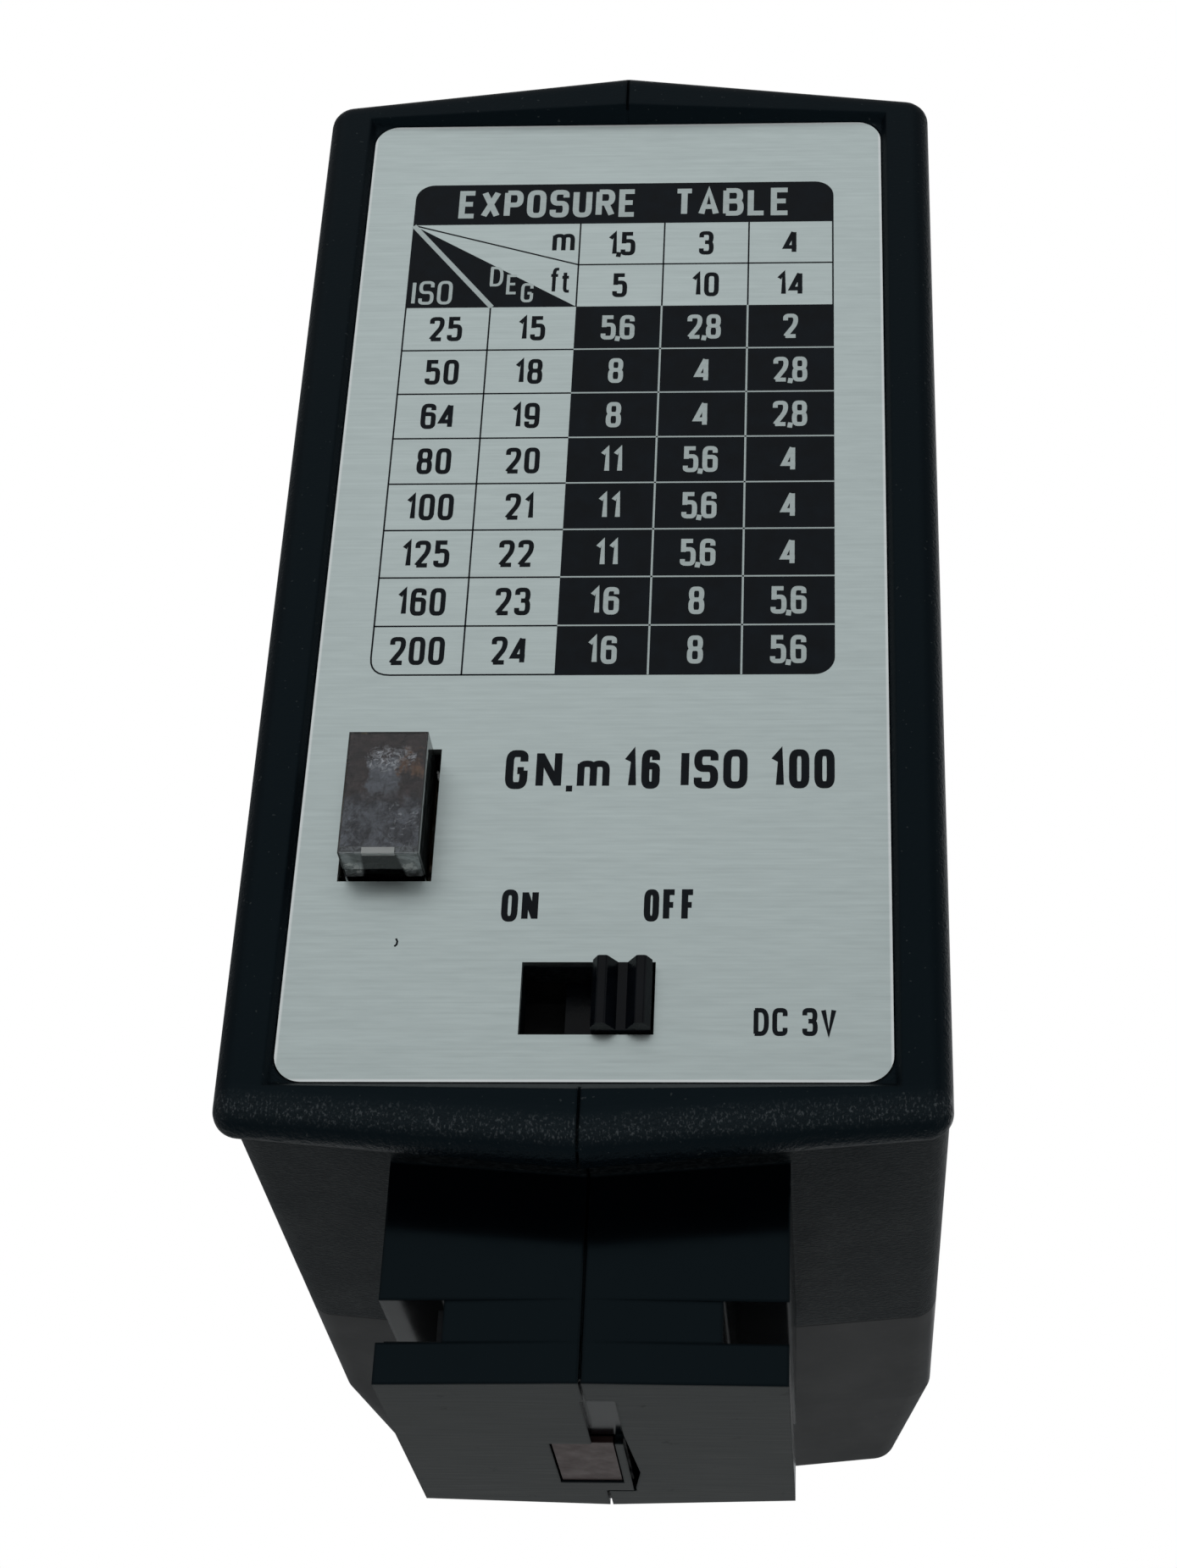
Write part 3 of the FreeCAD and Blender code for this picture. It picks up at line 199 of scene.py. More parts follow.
def case_shader(sizes, colours):
    """Textured black moulding: coarse grain on the border's lower edge, fine elsewhere, and a polished stem; the
    border's lower rounding carries a painted highlight with painted glints.
    """
    shade = Shader("case_texture")
    x, y, z = shade.axes()
    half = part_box("case_right")[1].x
    across = shade.sum("MULTIPLY", shade.sum("ABSOLUTE", x), -PEAK_RISE / half)
    fall = shade.sum("MULTIPLY", y, FLOOR_FALL)
    level = shade.sum("ADD", shade.sum("ADD", z, across), fall)
    below_floor = shade.sum("LESS_THAN", level, 9.27 * MM)
    forward = shade.sum("GREATER_THAN", y, -10.2 * MM)
    narrow = shade.sum("LESS_THAN", shade.sum("ABSOLUTE", x), STEM_HALF)
    stem = shade.sum("MULTIPLY", shade.sum("MULTIPLY", below_floor, forward), narrow)
    under = shade.sum("LESS_THAN", z, 0.02 * MM)
    border = shade.ramp(y, -14.2 * MM, -14.0 * MM, 1.0, 0.0)
    flat = shade.sum("LESS_THAN", y, -15.0 * MM)
    lip = shade.sum("MULTIPLY", border, shade.ramp(level, 9.0 * MM, 9.8 * MM, 1.0, 0.0))
    coarse = shade.noise(sizes.grain * 1.3, detail=3.0, rough=0.65)
    fine = shade.noise(sizes.grain * 0.75, detail=3.0, rough=0.6, vector=shade.stretched((0.75, 1.3, 1.0)))
    brush = shade.noise(1.0, detail=2.0, vector=shade.stretched((260, 4200, 900)))
    wear = shade.noise(7 * MM, detail=4.0, rough=0.7)
    dust = shade.ramp(shade.noise(0.22 * MM, detail=1.0), 0.735, 0.765)
    tone = shade.mix(shade.ramp(wear, 0.35, 0.75), [value * 0.6 for value in colours.case], colours.case)
    grainy = shade.ramp(fine, 0.46, 0.62, 0.0, 0.9)
    tone = shade.mix(grainy, tone, (0.016, 0.0178, 0.0188))
    tone = shade.mix(border, tone, (0.0014, 0.0034, 0.0054))
    # Painted highlight: the border's lower rounding is lighter and strewn with painted glints.
    glints = shade.ramp(shade.noise(sizes.grain * 0.5, detail=2.0, rough=0.7,
                                    vector=shade.stretched((1.0, 1.0, 0.6))),
                        0.54, 0.70)
    lit_rounding = shade.sum("MULTIPLY", shade.ramp(level, 8.0 * MM, 8.4 * MM),
                         shade.ramp(level, 8.9 * MM, 9.6 * MM, 1.0, 0.0))
    lit_rounding = shade.sum("MULTIPLY", lit_rounding, shade.sum("LESS_THAN", y, -14.9 * MM))
    tone = shade.mix(shade.sum("MULTIPLY", lit_rounding, 0.5), tone, (0.014, 0.017, 0.019))
    tone = shade.mix(shade.sum("MULTIPLY", glints, lit_rounding), tone, (0.075, 0.083, 0.088))
    tone = shade.mix(shade.sum("MULTIPLY", dust, shade.sum("MULTIPLY", border, 0.3)), tone, (0.10, 0.11, 0.11))
    tone = shade.mix(stem, tone, colours.gloss)
    rubbed = shade.mix(shade.ramp(brush, 0.35, 0.7), (0.030, 0.032, 0.031), (0.046, 0.048, 0.047))
    scuffs = shade.ramp(shade.noise(2.4 * MM, detail=5.0, rough=0.75), 0.63, 0.70)
    rubbed = shade.mix(scuffs, rubbed, (0.012, 0.013, 0.013))
    shade.put("Base Color", shade.mix(under, tone, rubbed))
    rough = shade.between(border, shade.ramp(wear, 0.3, 0.7, 0.48, 0.6), shade.between(lip, 0.42, 0.3))
    rough = shade.between(stem, rough, shade.ramp(wear, 0.3, 0.75, 0.10, 0.2))
    shade.put("Roughness", shade.between(under, rough, shade.ramp(brush, 0.3, 0.7, 0.42, 0.55)))
    shade.put("Specular IOR Level", SATIN_SPECULAR)
    shade.put("Specular Tint", (0.55, 0.85, 1.0, 1.0))
    height = shade.between(lip, shade.sum("MULTIPLY", fine, shade.between(flat, 0.8, 0.14)),
                           shade.sum("MULTIPLY", coarse, 1.3))
    height = shade.between(stem, height, shade.sum("MULTIPLY", wear, 0.02))
    shade.bump(shade.between(under, height, shade.sum("MULTIPLY", brush, 0.08)), 0.09 * MM, edge=0.22 * MM)
    return shade.material


def cover_shader(colours):
    """Smooth satin black moulding with faint moulding ripples, dust and a rubbed smudge under it."""
    shade = Shader("cover_satin")
    cloud = shade.noise(9 * MM, detail=4.0, rough=0.65)
    dust = shade.ramp(shade.noise(0.35 * MM, detail=2.0), 0.71, 0.76)
    lighter = [value * 1.7 + 0.003 for value in colours.case]
    base = shade.mix(shade.ramp(cloud, 0.3, 0.75), colours.case, lighter)
    base = shade.mix(shade.sum("MULTIPLY", dust, 0.2), base, (0.08, 0.08, 0.08))
    smudge = shade.node("ShaderNodeVectorMath", operation="DISTANCE")
    shade.feed(smudge.inputs[0], shade.stretched((0.5, 1.0, 1.0)))
    smudge.inputs[1].default_value = (4.85 * MM, 28.5 * MM, 8.6 * MM)
    near = shade.ramp(smudge.outputs["Value"], 0.2 * MM, 1.1 * MM, 0.85, 0.0)
    shade.put("Base Color", shade.mix(near, base, (0.002, 0.002, 0.002)))
    shade.put("Roughness", shade.ramp(cloud, 0.3, 0.7, 0.36, 0.5))
    shade.put("Specular IOR Level", SATIN_SPECULAR)
    shade.bump(shade.noise(2.2 * MM, detail=2.0), 0.012 * MM, edge=0.3 * MM)
    return shade.material


def panel_shader(colours, name="brushed_aluminium", darker=1.0):
    """Aluminium brushed from side to side: long fine lines in colour, roughness and height, with painted shade
    towards the bottom and a painted highlight along the edges.
    """
    shade = Shader(name, metal=1.0)
    long_lines = shade.noise(1.0, detail=3.0, rough=0.6, vector=shade.stretched((130, 500, 9500)))
    short_lines = shade.noise(1.0, detail=2.0, vector=shade.stretched((620, 900, 5200)))
    cloud = shade.noise(14 * MM, detail=3.0)
    base = [value * darker for value in colours.panel]
    light = [min(1.0, value * 1.05) for value in base]
    dark = [value * 0.95 for value in base]
    lined = shade.mix(shade.ramp(long_lines, 0.3, 0.7), dark, light)
    tone = shade.mix(shade.ramp(cloud, 0.35, 0.7, 0.0, 0.25), lined, dark)
    low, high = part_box("exposure_panel")
    x, _, z = shade.axes()
    # Painted shade: the panel is darker towards the bottom.
    tone = shade.mix(shade.ramp(z, low.z, high.z, 0.14, 0.0), tone, [value * 0.2 for value in base])
    # Painted highlight: a pale line just inside the panel's edges.
    sideways = shade.sum("ADD", shade.sum("ABSOLUTE", x), -high.x)
    upright = shade.sum("ABSOLUTE", shade.sum("ADD", z, -(low.z + high.z) / 2))
    rim = shade.sum("MAXIMUM", sideways, shade.sum("ADD", upright, -(high.z - low.z) / 2))
    shade.put("Base Color", shade.mix(shade.ramp(rim, -0.16 * MM, -0.08 * MM, 0.0, 0.6), tone, (0.95, 0.97, 0.97)))
    shade.put("Roughness", shade.ramp(short_lines, 0.3, 0.7, 0.37, 0.43))
    shade.put("Anisotropic", 0.45)
    shade.bump(shade.sum("ADD", long_lines, short_lines), 0.0010 * MM)
    return shade.material


def ink_shader(colours):
    """Screen-printed black ink, slightly uneven."""
    shade = Shader("black_ink")
    cloud = shade.noise(0.9 * MM, detail=3.0)
    lighter = [value * 1.8 + 0.002 for value in colours.ink]
    shade.put("Base Color", shade.mix(shade.ramp(cloud, 0.35, 0.75), colours.ink, lighter))
    shade.put("Roughness", shade.ramp(cloud, 0.3, 0.7, 0.36, 0.5))
    shade.put("Specular IOR Level", 0.12)
    shade.bump(shade.noise(0.12 * MM, detail=2.0), 0.003 * MM)
    return shade.material


def clear_shader(name, base=(0.96, 0.98, 0.98), rough=0.03, index=1.49):
    """Clear moulded plastic or glass with faint flow marks."""
    shade = Shader(name, base=base, rough=rough, Transmission_Weight=1.0, IOR=index)
    flow = shade.noise(1.6 * MM, detail=2.0, twist=0.6)
    shade.put("Base Color", shade.mix(shade.ramp(flow, 0.4, 0.8, 0.0, 0.4), base, [value * 0.93 for value in base]))
    shade.put("Roughness", shade.ramp(flow, 0.3, 0.8, rough, rough * 2.2))
    shade.bump(flow, 0.006 * MM)
    return shade.material


def metal_shader(name, base, rough=0.3, tarnish=0.25, stain=None):
    """Plated or bare metal strip with drawn lines, cloudy tarnish and a few darker stains."""
    shade = Shader(name, metal=1.0)
    lines = shade.noise(1.0, detail=2.0, vector=shade.stretched((900, 900, 5200)))
    cloud = shade.noise(1.1 * MM, detail=4.0, rough=0.6)
    dark = stain or [value * 0.55 for value in base]
    tone = shade.mix(shade.ramp(cloud, 0.42, 0.75, 0.0, tarnish * 2), base, dark)
    shade.put("Base Color", shade.mix(shade.ramp(lines, 0.3, 0.7, 0.0, 0.25), tone, dark))
    shade.put("Roughness", shade.ramp(cloud, 0.3, 0.8, rough, rough + 0.2))
    shade.bump(lines, 0.003 * MM)
    return shade.material


def moulded_shader(name, base, rough=0.4, mottled=0.3, grain=0.18 * MM, depth=0.012 * MM, shine=0.5):
    """Plain moulded or lacquered surface with mottling and fine grain."""
    shade = Shader(name)
    cloud = shade.noise(1.8 * MM, detail=4.0)
    lighter = [min(1.0, value * (1 + mottled) + 0.002) for value in base]
    darker = [value * (1 - mottled) for value in base]
    shade.put("Base Color", shade.mix(shade.ramp(cloud, 0.3, 0.7), darker, lighter))
    shade.put("Roughness", shade.ramp(cloud, 0.3, 0.7, rough, min(1.0, rough + 0.14)))
    shade.put("Specular IOR Level", shine)
    shade.bump(shade.noise(grain, detail=2.0), depth)
    return shade.material


def banded_shader(name, base, bands, axis, rough=0.35, metal_from=None):
    """Lacquered body with coloured bands across one axis: each band is (start, end, colour) in metres."""
    shade = Shader(name)
    along = shade.axes()["XYZ".index(axis)]
    cloud = shade.noise(1.2 * MM, detail=3.0)
    colour = shade.mix(shade.ramp(cloud, 0.3, 0.7), [value * 0.85 for value in base], base)
    for start, end, tone in bands:
        inside = shade.sum("MULTIPLY", shade.sum("GREATER_THAN", along, start), shade.sum("LESS_THAN", along, end))
        colour = shade.mix(inside, colour, tone)
    if metal_from is not None:
        bare = shade.sum("GREATER_THAN", along, metal_from)
        colour = shade.mix(bare, colour, (0.6, 0.6, 0.58))
        shade.put("Metallic", bare)
    shade.put("Base Color", colour)
    shade.put("Roughness", shade.ramp(cloud, 0.3, 0.7, rough, rough + 0.12))
    shade.bump(shade.noise(0.3 * MM), 0.006 * MM)
    return shade.material


def wound_shader(name, base, axis, pitch=0.16 * MM):
    """Enamelled copper wire wound in close turns along one axis, with painted shade between the turns."""
    shade = Shader(name, metal=0.85, rough=0.3)
    along = shade.axes()["XYZ".index(axis)]
    turn = shade.sum("SINE", shade.sum("MULTIPLY", along, 2 * math.pi / pitch))
    crown = shade.ramp(turn, -1.0, 1.0)
    # Painted shade: the colour is darker in the grooves between the turns.
    shade.put("Base Color", shade.mix(crown, [value * 0.35 for value in base], base))
    shade.bump(crown, 0.05 * MM)
    return shade.material


# ---------------------------------------------------------------- shapes

def new_piece(name, points, faces, material, body, slot, replaces=(), smooth=False):
    """A mesh piece from arrays of points and faces, riding on a body."""
    mesh = bpy.data.meshes.new(name)
    mesh.from_pydata([tuple(point) for point in np.asarray(points, dtype=float)], [],
                     [tuple(int(corner) for corner in face) for face in faces])
    mesh.validate()
    mesh.materials.append(material)
    mesh.shade_smooth() if smooth else mesh.shade_flat()
    piece = bpy.data.objects.new(name, mesh)
    bpy.context.scene.collection.objects.link(piece)
    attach(piece, body)
    if replaces:
        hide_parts(*replaces)
    return piece


def merged(shapes):
    """Many (points, faces) shapes as one."""
    points, faces, start = [], [], 0
    for shape_points, shape_faces in shapes:
        points.append(np.asarray(shape_points, dtype=float))
        faces += [[corner + start for corner in face] for face in shape_faces]
        start += len(shape_points)
    return np.concatenate(points), faces


def printed(outline, face_y, thickness):
    """A flat printed shape: an outline of (x, z) points, counter-clockwise seen from the rear, as a thin plate."""
    ring = np.asarray(outline, dtype=float)
    count = len(ring)
    rear = np.column_stack([ring[:, 0], np.full(count, face_y - thickness), ring[:, 1]])
    front = np.column_stack([ring[:, 0], np.full(count, face_y), ring[:, 1]])
    walls = [[number, number + count, (number + 1) % count + count, (number + 1) % count] for number in range(count)]
    return np.concatenate([rear, front]), [list(range(count)), list(range(2 * count - 1, count - 1, -1)), *walls]


def rounded(left, right, low, high, radii):
    """A rectangle whose corners are quarter circles: low left, low right, high right, high left."""
    centres = ((left, low, 1, 1, 180), (right, low, -1, 1, 270), (right, high, -1, -1, 0), (left, high, 1, -1, 90))
    points = []
    for (x, z, inward_x, inward_z, start), radius in zip(centres, radii):
        if radius == 0:
            points.append((x, z))
            continue
        turns = np.radians(start + np.linspace(0, 90, 9))
        points += list(zip(x + inward_x * radius + radius * np.cos(turns),
                           z + inward_z * radius + radius * np.sin(turns)))
    return points


GLYPHS = {
    "0": "1.5:0,0 4,0 4,6 0,6 0,0", "1": "0:0,4.6 1.7,6 1.7,0", "2": "1.5:0,4.6 0,6 4,6 4,3.6 0,0|0:0,0 4,0",
    "3": "1.4:0,4.7 0,6 3.9,6 3.9,3.2 1.4,3.2|1.4:1.4,3.2 4,3.2 4,0 0,0 0,1.3",
    "4": "0:3.3,0 3.3,6|0:3.1,6 -0.1,1.5 4.3,1.5",
    "5": "0:3.8,6 0.3,6 0.3,3.1|1.4:0.3,3.8 4,3.8 4,0 0,0 0,1.2",
    "6": "1.5:3.9,4.7 3.9,6 0,6 0,0 4,0 4,2|1.5:4,2 4,3.6 0,3.6",
    "8": "1.3:0.1,3.2 3.9,3.2 3.9,6 0.1,6 0.1,3.2|1.4:0,0 4,0 4,3.2 0,3.2 0,0",
    "9": "1.5:0.1,1.3 0.1,0 4,0 4,6 0,6 0,4|1.5:0,4 0,2.4 4,2.4", ",": "0:0.5,0.4 0.1,-1.0",
    "A": "0:0,0 2,6 4,0|0:0.7,1.8 3.3,1.8",
    "B": "0:0,0 0,6|1.3:0,6 3.8,6 3.8,3.2 0,3.2|1.4:0,3.2 4,3.2 4,0 0,0", "C": "1.5:4,4.5 4,6 0,6 0,0 4,0 4,1.5",
    "D": "0:0,0 0,6|2.6:-0.5,6 4,6 4,0 -0.5,0", "E": "0:3.8,0 0,0 0,6 3.8,6|0:0,3.1 3.3,3.1",
    "F": "0:0,0 0,6 3.7,6|0:0,3.1 3.2,3.1",
    "G": "1.5:4,4.5 4,6 0,6 0,0 4,0 4,2.8|0:4,2.8 2.2,2.8", "I": "0:0,0 0,6", "L": "0:0,6 0,0 3.6,0",
    "N": "0:0,0 0,6|0:0.1,5.7 3.9,0.3|0:4,0 4,6", "O": "1.6:0,0 4,0 4,6 0,6 0,0",
    "P": "0:0,0 0,6|1.5:0,6 4,6 4,2.8 0,2.8",
    "R": "0:0,0 0,6|1.5:0,6 4,6 4,3 0,3|0:2.2,3 4,0", "S": "1.4:4,4.6 4,6 0,6 0,3.1 4,3.1 4,0 0,0 0,1.4",
    "T": "0:0,6 4,6|0:2,6 2,0", "U": "1.6:0,6 0,0 4,0 4,6", "V": "0:0,6 2,0 4,6", "X": "0:0,0 4,6|0:0,6 4,0",
    "m": "0:0,0 0,4.3|1.3:0,2.6 0,4.3 3,4.3 3,0|1.3:3,2.6 3,4.3 6,4.3 6,0",
    "f": "1.4:1.3,0 1.3,6 3.2,6|0:0,4.3 2.9,4.3",
    "t": "1.2:1.3,5.7 1.3,0 3.2,0|0:0,4.3 2.9,4.3",
}


def bent(points, radius):
    """A path whose inner corners are eased by quadratic curves that start and end a radius from each."""
    closed = np.allclose(points[0], points[-1])
    ring = points[:-1] if closed else points
    count = len(ring)
    path = [] if closed else [ring[0]]
    for number in range(count if closed else count - 2):
        before, corner, after = (ring[(number + step + (-1 if closed else 0)) % count] for step in range(3))
        reach = [min(radius, np.linalg.norm(end - corner) / 2) for end in (before, after)]
        first = corner + (before - corner) / np.linalg.norm(before - corner) * reach[0]
        last = corner + (after - corner) / np.linalg.norm(after - corner) * reach[1]
        share = np.linspace(0, 1, 7 if radius else 1)[:, None]
        path += list((1 - share) ** 2 * first + 2 * share * (1 - share) * corner + share ** 2 * last if radius
                     else [corner])
    path = np.asarray([*path, path[0] if closed else ring[-1]])
    apart = np.linalg.norm(np.diff(path, axis=0), axis=1) > 1e-6
    return path[np.concatenate([[True], apart])]


def ribbon(path, width, face_y, thickness):
    """A printed line of a width along a path of (x, z) points, mitred at its turns; a closed path makes a ring."""
    path = np.asarray(path, dtype=float)
    closed = np.allclose(path[0], path[-1])
    along = np.diff(path, axis=0)
    along /= np.linalg.norm(along, axis=1)[:, None]
    before = np.vstack([along[-1:] if closed else along[:1], along])
    after = np.vstack([along, along[:1] if closed else along[-1:]])
    middle = before + after
    middle /= np.linalg.norm(middle, axis=1)[:, None]
    stretch = np.clip((middle * before).sum(axis=1), 0.5, 1.0)
    side = np.column_stack([-middle[:, 1], middle[:, 0]]) / stretch[:, None] * width / 2
    left, right = path + side, path - side
    count = len(path) - closed
    rows = [np.column_stack([edge[:count, 0], np.full(count, depth), edge[:count, 1]])
            for depth in (face_y - thickness, face_y) for edge in (left, right)]
    faces = []
    for number in range(len(path) - 1):
        after = (number + 1) % count
        for first, second in ((0, 1), (3, 2), (2, 0), (1, 3)):
            faces.append([first * count + number, second * count + number, second * count + after,
                          first * count + after])
    if not closed:
        last = count - 1
        faces += [[0, 2 * count, 3 * count, count], [last, count + last, 3 * count + last, 2 * count + last]]
    return np.vstack(rows), faces


def written(text):
    """The strokes of a text with the gaps before each, its width on a grid of letters 4 by 6, and its gaps."""
    strokes, start, gaps = [], 0.0, 0
    for letter in text:
        if letter == " ":
            start += 1.2
            gaps += 1
            continue
        tight = 0.55 if letter == "," else 0.0
        reach, gaps = 0.0, gaps - tight
        for part in GLYPHS[letter].split("|"):
            radius, spots = part.split(":")
            points = np.array([[float(value) for value in spot.split(",")] for spot in spots.split()])
            reach = max(reach, points[:, 0].max())
            strokes.append((float(radius), points + (start, 0), gaps))
        start += reach
        gaps += 1 - tight
    return strokes, start, gaps - 1


def lettering(text, left, right, low, high, pen, face_y, thickness):
    """A text fitted into a rectangle on the panel, each stroke a little higher than the last."""
    strokes, span, gaps = written(text)
    gap = pen + 0.11 * (high - low)
    tall = max(points[:, 1].max() for _, points, _ in strokes)
    scale = np.array([(right - left - pen - gaps * gap) / span, (high - low - pen) / tall])
    start = np.array([left + pen / 2, low + pen / 2])
    return [ribbon(bent(points, radius) * scale + start + (before * gap, 0), pen, face_y,
                   thickness * (1 + order % 4 / 8))
            for order, (radius, points, before) in enumerate(strokes)]


def number(text, middle_x, middle_z, height, squeeze, pen, face_y, thickness):
    """A short text centred on a point, with digits of a height."""
    _, span, gaps = written(text)
    half = (span * (height - pen) / 6 * squeeze + gaps * (pen + 0.11 * height) + pen) / 2
    return lettering(text, middle_x - half, middle_x + half, middle_z - height / 2, middle_z + height / 2, pen,
                     face_y,
                     thickness)


def smooth_path(points, steps=10):
    """A Catmull-Rom curve through the points, with a number of steps between each two."""
    knots = np.asarray(points, dtype=float)
    knots = np.vstack([2 * knots[0] - knots[1], knots, 2 * knots[-1] - knots[-2]])
    share = np.linspace(0, 1, steps, endpoint=False)[:, None]
    spans = [0.5 * (2 * b + (c - a) * share + (2 * a - 5 * b + 4 * c - d) * share ** 2
                    + (3 * b - a - 3 * c + d) * share ** 3)
             for a, b, c, d in zip(knots, knots[1:], knots[2:], knots[3:])]
    return np.vstack([*spans, knots[-2]])


def tube(path, radius, sides=10):
    """A round tube along a path: rings turned the least possible from one to the next, with closed ends."""
    path = np.asarray(path, dtype=float)
    along = np.gradient(path, axis=0)
    along /= np.linalg.norm(along, axis=1)[:, None]
    first = np.cross(along[0], (0.31, 0.95, 0.12))
    frames = [first / np.linalg.norm(first)]
    for heading in along[1:]:
        kept = frames[-1] - heading * np.dot(frames[-1], heading)
        frames.append(kept / np.linalg.norm(kept))
    side = np.asarray(frames)
    other = np.cross(along, side)
    turns = np.linspace(0, 2 * math.pi, sides, endpoint=False)
    rings = (path[:, None] + radius * (np.cos(turns)[None, :, None] * side[:, None]
                                       + np.sin(turns)[None, :, None] * other[:, None]))
    points = rings.reshape(-1, 3)
    faces = [[row * sides + column, row * sides + (column + 1) % sides,
              (row + 1) * sides + (column + 1) % sides, (row + 1) * sides + column]
             for row in range(len(path) - 1) for column in range(sides)]
    last = (len(path) - 1) * sides
    faces += [list(range(sides - 1, -1, -1)), list(range(last, last + sides))]
    return points, faces


def dome(centre, radius, height, axis=(0, 1, 0), sides=12, rows=4):
    """A solder-like dome on a flat base: radius shrinks as a cosine while it rises as a sine along the axis."""
    up = Vector(axis)
    turn = Vector((0, 0, 1)).rotation_difference(up).to_matrix()
    rise = np.linspace(0, math.pi / 2, rows, endpoint=False)
    turns = np.linspace(0, 2 * math.pi, sides, endpoint=False)
    rings = np.stack([radius * np.cos(rise)[:, None] * np.cos(turns), radius * np.cos(rise)[:, None] * np.sin(turns),
                      np.repeat(height * np.sin(rise)[:, None], sides, axis=1)], axis=-1).reshape(-1, 3)
    points = np.vstack([rings, [[0, 0, height]]]) @ np.array(turn).T + np.asarray(centre)
    faces = [[row * sides + column, row * sides + (column + 1) % sides,
              (row + 1) * sides + (column + 1) % sides, (row + 1) * sides + column]
             for row in range(rows - 1) for column in range(sides)]
    last = (rows - 1) * sides
    faces += [[last + column, last + (column + 1) % sides, rows * sides] for column in range(sides)]
    faces.append(list(range(sides - 1, -1, -1)))
    return points, faces


def paint(node, material):
    """Gives a CAD node its finish."""
    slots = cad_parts[node].data.materials
    slots.clear()
    slots.append(material)


# ---------------------------------------------------------------- operators

class LooksOperator:
    """What the operators share."""
    bl_options = {"REGISTER", "UNDO"}

    @property
    def sizes(self):
        return bpy.context.scene.flash_sizes

    @property
    def colours(self):
        return bpy.context.scene.flash_colours


class FLASH_OT_stage(LooksOperator, bpy.types.Operator):
    """Set up the camera below and behind the flash, the soft lights and the pale floor"""
    bl_idname = "flash.stage"
    bl_label = "Stage"

    def execute(self, context):
        self.add_camera(context.scene)
        self.add_floor(context.scene)
        self.add_lights(context.scene)
        self.add_world(context.scene)
        context.scene.view_settings.view_transform = "Standard"
        context.scene.view_settings.look = "None"
        return {"FINISHED"}

    def add_camera(self, scene):
        place = Vector((11.34, -126.17, -36.11)) * MM
        ahead = Vector((-0.03694, 0.85916, 0.51037)).normalized()
        right = Vector((0.99931, 0.03349, 0.01595))
        up = right.cross(ahead).normalized()
        right = ahead.cross(up)
        lens = bpy.data.cameras.new("camera")
        lens.sensor_width = 36.0
        lens.lens = 62.37
        lens.shift_x = -0.0938
        lens.shift_y = -0.0326
        lens.clip_start = 5 * MM
        lens.clip_end = 10.0
        camera = bpy.data.objects.new("camera", lens)
        turned = Matrix((right, up, -ahead)).transposed().to_4x4()
        camera.matrix_world = Matrix.Translation(place) @ turned
        scene.collection.objects.link(camera)
        scene.camera = camera

    def add_floor(self, scene):
        reach, level = 1.6, -60 * MM
        mesh = bpy.data.meshes.new("floor")
        mesh.from_pydata([(-reach, -reach, level), (reach, -reach, level), (reach, reach, level),
                          (-reach, reach, level)], [], [(0, 1, 2, 3)])
        shade = Shader("pale_floor", base=tuple(self.colours.paper), rough=0.85)
        cloud = shade.noise(60 * MM, detail=3.0)
        shade.put("Base Color", shade.mix(shade.ramp(cloud, 0.3, 0.7), self.colours.paper,
                                          [value * 0.97 for value in self.colours.paper]))
        mesh.materials.append(shade.material)
        floor = bpy.data.objects.new("floor", mesh)
        scene.collection.objects.link(floor)

    def add_lights(self, scene):
        target = Vector((0, 0, 40)) * MM
        lamps = (("key", (-90, -460, 330), 620, 0.52), ("fill", (460, -120, 120), 300, 0.10),
                 ("rim", (-60, 300, 420), 300, 0.30), ("belly", (80, -260, -52), 90, 0.012),
                 ("front", (300, 430, 300), 420, 0.6))
        for name, place, size, power in lamps:
            light = bpy.data.lights.new(name, "AREA")
            light.size = size * MM
            light.energy = power
            lamp = bpy.data.objects.new(name, light)
            where = Vector(place) * MM
            lamp.matrix_world = Matrix.Translation(where) @ (target - where).to_track_quat("-Z",
                                                                                           "Y").to_matrix().to_4x4()
            scene.collection.objects.link(lamp)

    def add_world(self, scene):
        world = bpy.data.worlds.new("studio")
        world.use_nodes = True
        tree = world.node_tree
        tree.nodes.clear()
        seen = tree.nodes.new("ShaderNodeBackground")
        seen.inputs["Color"].default_value = (1, 1, 1, 1)
        lit = tree.nodes.new("ShaderNodeBackground")
        lit.inputs["Color"].default_value = (0.93, 0.97, 1.0, 1)
        lit.inputs["Strength"].default_value = 0.30
        path = tree.nodes.new("ShaderNodeLightPath")
        blend = tree.nodes.new("ShaderNodeMixShader")
        out = tree.nodes.new("ShaderNodeOutputWorld")
        tree.links.new(path.outputs["Is Camera Ray"], blend.inputs[0])
        tree.links.new(lit.outputs[0], blend.inputs[1])
        tree.links.new(seen.outputs[0], blend.inputs[2])
        tree.links.new(blend.outputs[0], out.inputs["Surface"])
        scene.world = world


class FLASH_OT_case(LooksOperator, bpy.types.Operator):
    """Finish the case halves, the battery door, the front cover and their screws"""
    bl_idname = "flash.case"
    bl_label = "Case"

    def execute(self, context):
        textured = case_shader(self.sizes, self.colours)
        for node in ("case_left", "case_right", "battery_door"):
            paint(node, textured)
        paint("front_cover", cover_shader(self.colours))
        paint("case_screws", metal_shader("zinc_plate", (0.5, 0.5, 0.48), rough=0.32))
        paint("hinge_pin", metal_shader("pin_steel", (0.55, 0.55, 0.55), rough=0.25))
        return {"FINISHED"}


